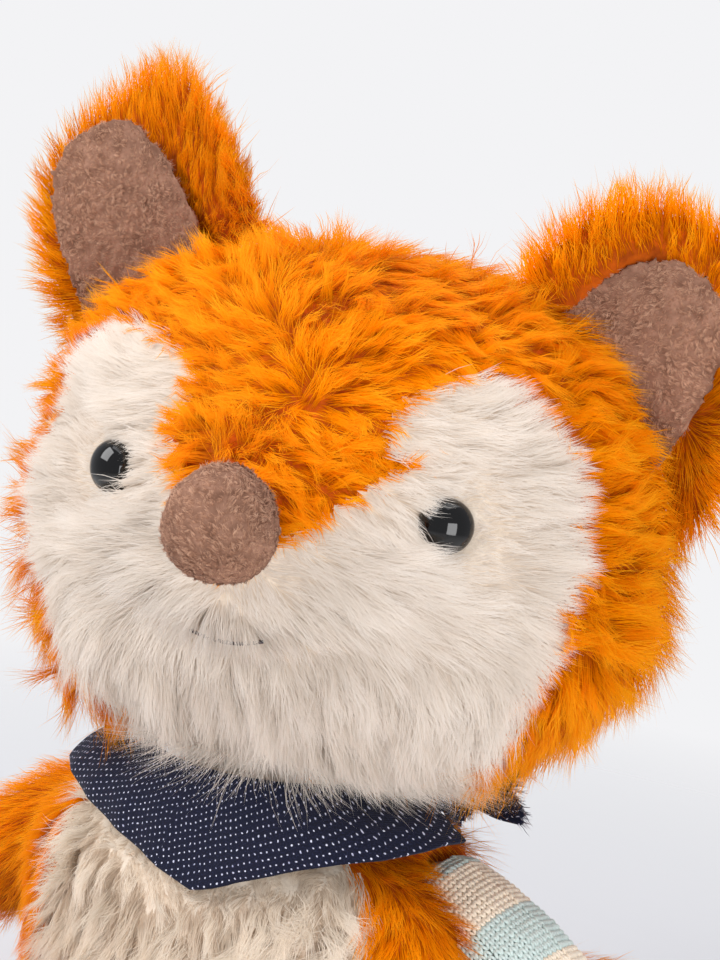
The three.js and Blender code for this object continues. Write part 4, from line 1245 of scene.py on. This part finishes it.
class FoxKnitArm(bpy.types.Operator):
    """Left arm: a stuffed tube of plain knitting in bands of cream and mint"""

    bl_idname = "fox.knit_arm"
    bl_label = "Knitted arm"

    # The arm's radius outside and in the stitches, the length of its bent middle line, and where
    # its round end starts, all in millimetres
    RADIUS = 19
    WALE_RADIUS = 18.5
    LENGTH = 68.0
    END = 64

    def execute(self, context):
        knit = context.scene.fox_knit
        material = yarn_material()
        look = {"backing": "knit", "slot": "striped_knit"}
        plush_skin("arm_left_skin", ["arm_left"], "arm_left", voxel=2.2, inset=1.2, fill=0.85, **look)
        tree = tree_of("arm_left")
        starts, outs, alongs, bands = [], [], [], []
        wales = round(2 * math.pi * self.WALE_RADIUS / knit.wale)
        courses = [(run, 0.0) for run in np.arange(-6, self.END, knit.course)]
        courses += [(self.END, tilt) for tilt in np.arange(0.02, 1.56, knit.course / self.RADIUS)]
        for run, tilt in courses:
            centre, ahead, side = self.centre_line(run)
            around = max(6, round(wales * math.cos(tilt)))
            for wale in range(around):
                angle = wale / around * 2 * math.pi
                out = side * math.cos(angle) + np.array([0, 1.0, 0]) * math.sin(angle)
                ray = out * math.cos(tilt) + ahead * math.sin(tilt)
                place, normal, _, _ = tree.ray_cast(Vector(centre), Vector(ray))
                if place is None:
                    continue
                starts.append(np.array(place))
                outs.append(np.array(normal) * np.sign(np.dot(normal, ray)))
                alongs.append(ahead * math.cos(tilt) - out * math.sin(tilt))
                shown = run + self.RADIUS * tilt - knit.first_band
                bands.append(1.0 if int(shown // knit.band) % 2 == 0 else 0.0)
        field = mesh_of(starts, [])
        store(field, "out", "FLOAT_VECTOR", outs)
        store(field, "ahead", "FLOAT_VECTOR", alongs)
        store(field, "band", "FLOAT", bands)
        thing = new_object("arm_left_knit", field, material)
        stitch = self.stitch()
        mesh = grow(thing, self.group(), {"Width": knit.wale * MM, "Stitch": stitch, "Material": material})
        bpy.data.objects.remove(stitch)
        mesh.shade_smooth()
        belongs(thing, "arm_left", "striped_knit")
        return {"FINISHED"}

    @classmethod
    def centre_line(cls, run):
        """Point, direction and side of the arm's bent middle line, by the distance along it."""
        droop, bend = math.radians(22), math.radians(34)
        on_line = min(max(run, 0.0), cls.LENGTH)
        angle = -droop - bend * on_line / cls.LENGTH
        arc = -cls.LENGTH / bend
        across = arc * (math.sin(angle) - math.sin(-droop)) + (run - on_line) * math.cos(angle)
        rise = arc * (math.cos(-droop) - math.cos(angle)) + (run - on_line) * math.sin(angle)
        centre = joint_place("arm_left_raise") + np.array([across, 0, rise]) * MM
        ahead = np.array([math.cos(angle), 0, math.sin(angle)])
        side = np.array([-math.sin(angle), 0, math.cos(angle)])
        return centre, ahead, side

    @staticmethod
    def stitch():
        """One stitch, 1 wide: two plump legs that lean together like a V, along +Y."""
        points, faces, tone = [], [], []
        rings, sides = 4, 4
        for leg in (-1, 1):
            faces += ring_faces(rings, sides, len(points))
            for ring in range(rings):
                share = ring / (rings - 1)
                plump = 0.31 * (0.35 + math.sin(math.pi * (0.12 + 0.76 * share)))
                across, along = leg * (0.08 + 0.34 * share), 1.25 * share - 0.45
                height = 0.1 + 0.16 * math.sin(math.pi * share)
                for corner in range(sides):
                    turn = (corner + 0.5) / sides * 2 * math.pi
                    x = across + plump * 0.75 * math.cos(turn)
                    points.append((x, along, height + plump * math.sin(turn)))
                    # Painted shade: each leg is paler on its top and darker underneath
                    tone.append(0.5 + 0.5 * math.sin(turn))
        mesh = mesh_of(points, faces)
        store(mesh, "tone", "FLOAT", tone)
        return new_object("stitch", mesh, None)

    @staticmethod
    def group():
        """A stitch on every point, turned to the knitting's course and the arm's surface."""
        inputs = (("Width", "Float", None), ("Stitch", "Object", None), ("Material", "Material", None))
        tree, given = new_group("knit", inputs)
        kinds = {"out": "FLOAT_VECTOR", "ahead": "FLOAT_VECTOR", "band": "FLOAT", "tone": "FLOAT"}
        field = {
            name: output(tree, ATTRIBUTE, {"Name": name}, data_type=kind) for name, kind in kinds.items()
        }
        points = output(tree, "GeometryNodeMeshToPoints", (given["Geometry"],))
        axes = (field["out"], field["ahead"])
        turned = output(tree, "FunctionNodeAxesToRotation", axes, primary_axis="Z", secondary_axis="Y")
        loose = {2: 0.9, 3: 1.12, "Seed": 3}
        loose = output(tree, RANDOM, loose, 1, data_type="FLOAT")
        size = output(tree, MATH, (given["Width"], loose), operation="MULTIPLY")
        grown = placed(tree, points, given["Stitch"], turned, size)
        end_group(tree, grown, field["band"], field["tone"], given["Material"])
        return tree


class FoxNeckerchief(bpy.types.Operator):
    """Neckerchief: a folded cloth round the neck with a point in front, its knot and two ends"""

    bl_idname = "fox.neckerchief"
    bl_label = "Neckerchief"

    # The cloth's mean distance from the axis, and the width of its ends, in millimetres
    RADIUS = 52
    END_WIDTH = 15.5

    def execute(self, context):
        cloth = context.scene.fox_cloth
        material = chambray_material()
        torso = tree_of("torso", "belly_panel")
        columns, rows = 260, 22
        points, flat = [], []
        for row in range(rows + 1):
            for column in range(columns):
                angle, share = column / columns * 2 * math.pi, row / rows
                points.append(self.point(cloth, torso, angle, share))
                flat.append((angle * self.RADIUS, share * self.drop(cloth, angle)))
        faces = ring_faces(rows + 1, columns)
        span = 2 * math.pi * self.RADIUS / columns
        corners = []
        for low, high, high_after, low_after in faces:
            right = (low % columns + 1) * span
            corners += [flat[low], flat[high], (right, flat[high_after][1]), (right, flat[low_after][1])]
        mesh = mesh_of(points, faces)
        cloth_uv(mesh, corners)
        thing = new_object("neckerchief_cloth", mesh, material)
        thicken(thing, cloth.thickness, -1)
        belongs(thing, "torso", "dotted_chambray", "neckerchief")
        self.knot(material)
        self.ends(cloth, material)
        return {"FINISHED"}

    @staticmethod
    def knot(material):
        """The knot: its solid with a few folds that run round it."""
        mesh = remeshed_form(["neckerchief_knot"], voxel=0.9, inset=0)
        points, normals = vertex_arrays(mesh)
        middle = points.mean(0)
        turn = np.arctan2(points[:, 2] - middle[2], (points[:, :2] - middle[:2]) @ np.array([0.8, 0.6]))
        folds = 0.6 * np.sin(5 * turn + 260 * (points[:, 2] - middle[2]))
        move_vertices(mesh, points + normals * folds[:, None] * MM)
        which = [loop.vertex_index for loop in mesh.loops]
        cloth_uv(mesh, np.stack([turn[which] * 6, points[which, 2] / MM], 1))
        settled(mesh, "knot_cloth", "torso", "dotted_chambray", material, 0.7, "neckerchief_knot")

    @classmethod
    def ends(cls, cloth, material):
        """The two cut ends: flat where they leave the knot, wavy and frayed at the edge."""
        knot = box_centre("neckerchief_knot")
        threads = fur_material("frayed threads", "fringe", (0.0, 1.0), through=0.1)
        columns, rows = 20, 30
        nearest, sag, area_share = 12, 4, 0.8
        for number, (side, twist, droop) in enumerate((("side", 0.0, sag), ("back", 1.0, 0))):
            node = f"neckerchief_end_{side}"
            corners = node_points(node)
            gaps = np.linalg.norm(corners - knot, axis=1)
            root = corners[np.argsort(gaps)[:nearest]].mean(0)
            tip = corners[np.argsort(gaps)[-nearest:]].mean(0)
            ahead = unit(tip - root)
            across = unit(UP - (UP @ ahead) * ahead + twist * (knot - root) / 0.02)
            facing = np.cross(across, ahead)
            length = np.linalg.norm(tip - root) / MM
            points, flat, faces = [], [], []
            for row in range(rows + 1):
                for column in range(columns + 1):
                    along, aside = row / rows, column / columns * 2 - 1
                    half = 4.0 + 3.6 * smooth_step(along, 0, 0.8)
                    wave = 1.5 * math.sin(aside * 3.4 + along * 4) * (0.3 + along)
                    ragged = 0.8 * math.sin(column * 2.3) * along
                    spot = ahead * (length * along + ragged) + across * half * aside + facing * wave
                    points.append(root + spot * MM - droop * along * UP * MM)
                    flat.append((half * aside, length * along))
            for row in range(rows):
                for column in range(columns):
                    a = row * (columns + 1) + column
                    faces.append([a, a + 1, a + columns + 2, a + columns + 1])
            mesh = mesh_of(points, faces)
            cloth_uv(mesh, [flat[loop.vertex_index] for loop in mesh.loops])
            frayed = np.array([f[1] / length for f in flat]) > 0.9
            comb(mesh, ahead + 0 * np.array(points), 0.25)
            thing = new_object(f"end_cloth_{side}", mesh, material)
            values = {
                "Density": 3.2e6,
                "Pile": 4.0 * MM,
                "Strand Width": 0.26 * MM,
                "Clump Size": 1.5 * MM,
                "Sway": 0.6,
                "Fray": 0.3,
                "Wave": 0.0012,
                "Seed": 71 + number,
            }
            name = f"end_threads_{side}"
            fringe = grow_fur(name, thing, "torso", "dotted_chambray", threads, frayed, 1, values)
            area = sum(polygon.area for polygon in thing.data.polygons)
            thicken(thing, cloth.thickness, 0)
            belongs(thing, "torso", "dotted_chambray", node)
            width = cls.END_WIDTH * MM
            flat = (width, area / width / area_share)

    @staticmethod
    def drop(cloth, angle):
        """How far the cloth's lower edge hangs below its top, at an angle from straight ahead."""
        from_point = angle - math.radians(cloth.turn)
        turn = math.atan2(math.sin(from_point), math.cos(from_point))
        spread = min(1.0, abs(turn) / math.radians(cloth.spread))
        drawn_up = 4.5 * smooth_step(turn, 0.0, 0.75)
        return cloth.band + cloth.point * (1 - spread) - drawn_up

    @classmethod
    def point(cls, cloth, torso, angle, share):
        """A point of the cloth, share of the way from its top to its lower edge over the torso."""
        wide, deep, ahead, top_height = 35, 33, 7, 114
        out = np.array([math.sin(angle), -math.cos(angle), 0.0])
        top = np.array([wide * out[0], -ahead + deep * out[1], top_height + 1.5 * out[1]])
        height = top[2] - cls.drop(cloth, angle) * share
        axis = Vector((0, -5 * MM, min(height, 90) * MM))
        place, _, _, _ = torso.ray_cast(axis + Vector(out) * 0.2, -Vector(out))
        side = np.array(place) / MM
        reach = max((side - np.array([0, -5, 0])) @ out, 0)
        low = np.array([0, -5.0, height]) + out * (reach + cloth.lift * (0.7 + 0.6 * share))
        lean = math.sin(share * math.pi / 2)
        spot = top * (1 - lean) + low * lean
        spot[2] = height
        gather = math.exp(-(((angle - math.radians(92)) / 0.4) ** 2))
        folds = 1.3 * gather * math.sin(share * 9 + angle * 2.5)
        waves = 0.6 * math.sin(angle * 5 + 7 * share) * share + 0.12 * math.sin(angle * 21 - 4 * share)
        return (spot + out * (folds + waves * (1 - gather))) * MM


class FoxStage(bpy.types.Operator):
    """Stage: pale floor, soft studio light and the camera"""

    bl_idname = "fox.stage"
    bl_label = "Stage"

    # Each soft box: name, place, width in metres and power in watts
    LAMPS = (
        ("key", (-0.6, -0.85, 0.95), 0.8, 15.8),
        ("fill", (0.85, -0.5, 0.1), 0.5, 6.0),
        ("top", (0.0, 0.1, 1.2), 0.9, 6.0),
    )

    def execute(self, context):
        scene = context.scene
        self.camera(scene, scene.fox_stage)
        self.floor()
        self.world(scene)
        self.lamps(scene)
        scene.view_settings.view_transform = "Standard"
        return {"FINISHED"}

    @staticmethod
    def camera(scene, stage):
        turn, rise = stage.azimuth, stage.elevation
        right = Vector((math.cos(turn), math.sin(turn), 0))
        back = Vector((math.sin(turn) * math.cos(rise), -math.cos(turn) * math.cos(rise), math.sin(rise)))
        up = back.cross(right)
        target = right * stage.aim_side * MM + Vector((0, -8 * MM, stage.aim_height * MM))
        across = right * math.cos(stage.roll) + up * math.sin(stage.roll)
        upward = up * math.cos(stage.roll) - right * math.sin(stage.roll)
        camera = bpy.data.cameras.new("camera")
        camera.lens = stage.lens
        camera.sensor_width = 36
        camera.clip_start = 0.01
        thing = bpy.data.objects.new("camera", camera)
        turned = Matrix((across, upward, back)).transposed().to_4x4()
        thing.matrix_world = Matrix.Translation(target + back * stage.distance * MM) @ turned
        scene.collection.objects.link(thing)
        scene.camera = thing

    @staticmethod
    def floor():
        """A pale floor that fades out round the toy, a hair below it."""
        side, sunk = 0.65, 0.0006
        material, tree = new_material("floor")
        place = output(tree, "ShaderNodeTexCoord", which="Object")
        gap = output(tree, VECTORS, (place,), "Value", operation="LENGTH")
        fade = output(tree, "ShaderNodeMapRange", {0: gap, 1: 0.25, 2: 0.6})
        seen = output(tree, "ShaderNodeLightPath", which="Is Camera Ray")
        tones_seen = {"Factor": seen, 6: linear("#f6f6f6"), 7: linear("#cfcfd2")}
        colour = output(tree, MIX, tones_seen, 2, data_type="RGBA")
        plain = output(tree, "ShaderNodeBsdfDiffuse", {"Color": colour})
        clear = output(tree, "ShaderNodeBsdfTransparent")
        both = output(tree, "ShaderNodeMixShader", {0: fade, 1: plain, 2: clear})
        add_node(tree, "ShaderNodeOutputMaterial", (both,))
        corners = [(-side, -side, 0), (side, -side, 0), (side, side, 0), (-side, side, 0)]
        thing = new_object("floor", mesh_of(corners, [[0, 1, 2, 3]]), material)
        thing.location.z = -sunk

    @staticmethod
    def world(scene):
        """A pale wall for the camera and a weaker, cooler light for everything else."""
        world = bpy.data.worlds.new("studio")
        world.use_nodes = True
        tree = world.node_tree
        tree.nodes.clear()
        seen = output(tree, "ShaderNodeLightPath", which="Is Camera Ray")
        wall = output(tree, "ShaderNodeBackground", {"Color": linear("#f3f3f5"), "Strength": 1.0})
        light = output(tree, "ShaderNodeBackground", {"Color": linear("#f2f4fa"), "Strength": 0.55})
        both = output(tree, "ShaderNodeMixShader", {0: seen, 1: light, 2: wall})
        add_node(tree, "ShaderNodeOutputWorld", (both,))
        scene.world = world

    @classmethod
    def lamps(cls, scene):
        """Large soft boxes: key from the upper left of the picture, fill from its right."""
        for name, place, size, power in cls.LAMPS:
            lamp = bpy.data.lights.new(name, "AREA")
            lamp.shape = "RECTANGLE"
            lamp.size = size
            lamp.size_y = size * 1.2
            lamp.energy = power
            thing = bpy.data.objects.new(name, lamp)
            thing.location = place
            aim = Vector((0, -0.03, 0.17)) - Vector(place)
            thing.rotation_euler = aim.to_track_quat("-Z", "Y").to_euler()
            scene.collection.objects.link(thing)


OPERATORS = (
    FoxHead,
    FoxEyes,
    FoxTorso,
    FoxLimbs,
    FoxFleece,
    FoxEars,
    FoxTail,
    FoxKnitArm,
    FoxNeckerchief,
    FoxStage,
)


class FoxPanel(bpy.types.Panel):
    """Lists the operators that build the fox"""

    bl_idname = "VIEW3D_PT_fox"
    bl_label = "Plush fox"
    bl_space_type = "VIEW_3D"
    bl_region_type = "UI"
    bl_category = "Plush fox"

    def draw(self, context):
        for operator in OPERATORS:
            self.layout.operator(operator.bl_idname)


SETTINGS = (
    ("fox_colours", FoxColourSettings),
    ("fox_fur", FoxFurSettings),
    ("fox_knit", FoxKnitSettings),
    ("fox_cloth", FoxClothSettings),
    ("fox_stage", FoxStageSettings),
)


def register():
    for name, group in SETTINGS:
        bpy.utils.register_class(group)
        setattr(bpy.types.Scene, name, PointerProperty(type=group))
    for kind in (*OPERATORS, FoxPanel):
        bpy.utils.register_class(kind)


def unregister():
    for kind in (FoxPanel, *reversed(OPERATORS)):
        bpy.utils.unregister_class(kind)
    for name, group in reversed(SETTINGS):
        delattr(bpy.types.Scene, name)
        bpy.utils.unregister_class(group)


def main():
    register()
    for operator in OPERATORS:
        group, call = operator.bl_idname.split(".")
        getattr(getattr(bpy.ops, group), call)()


if __name__ == "__main__":
    main()
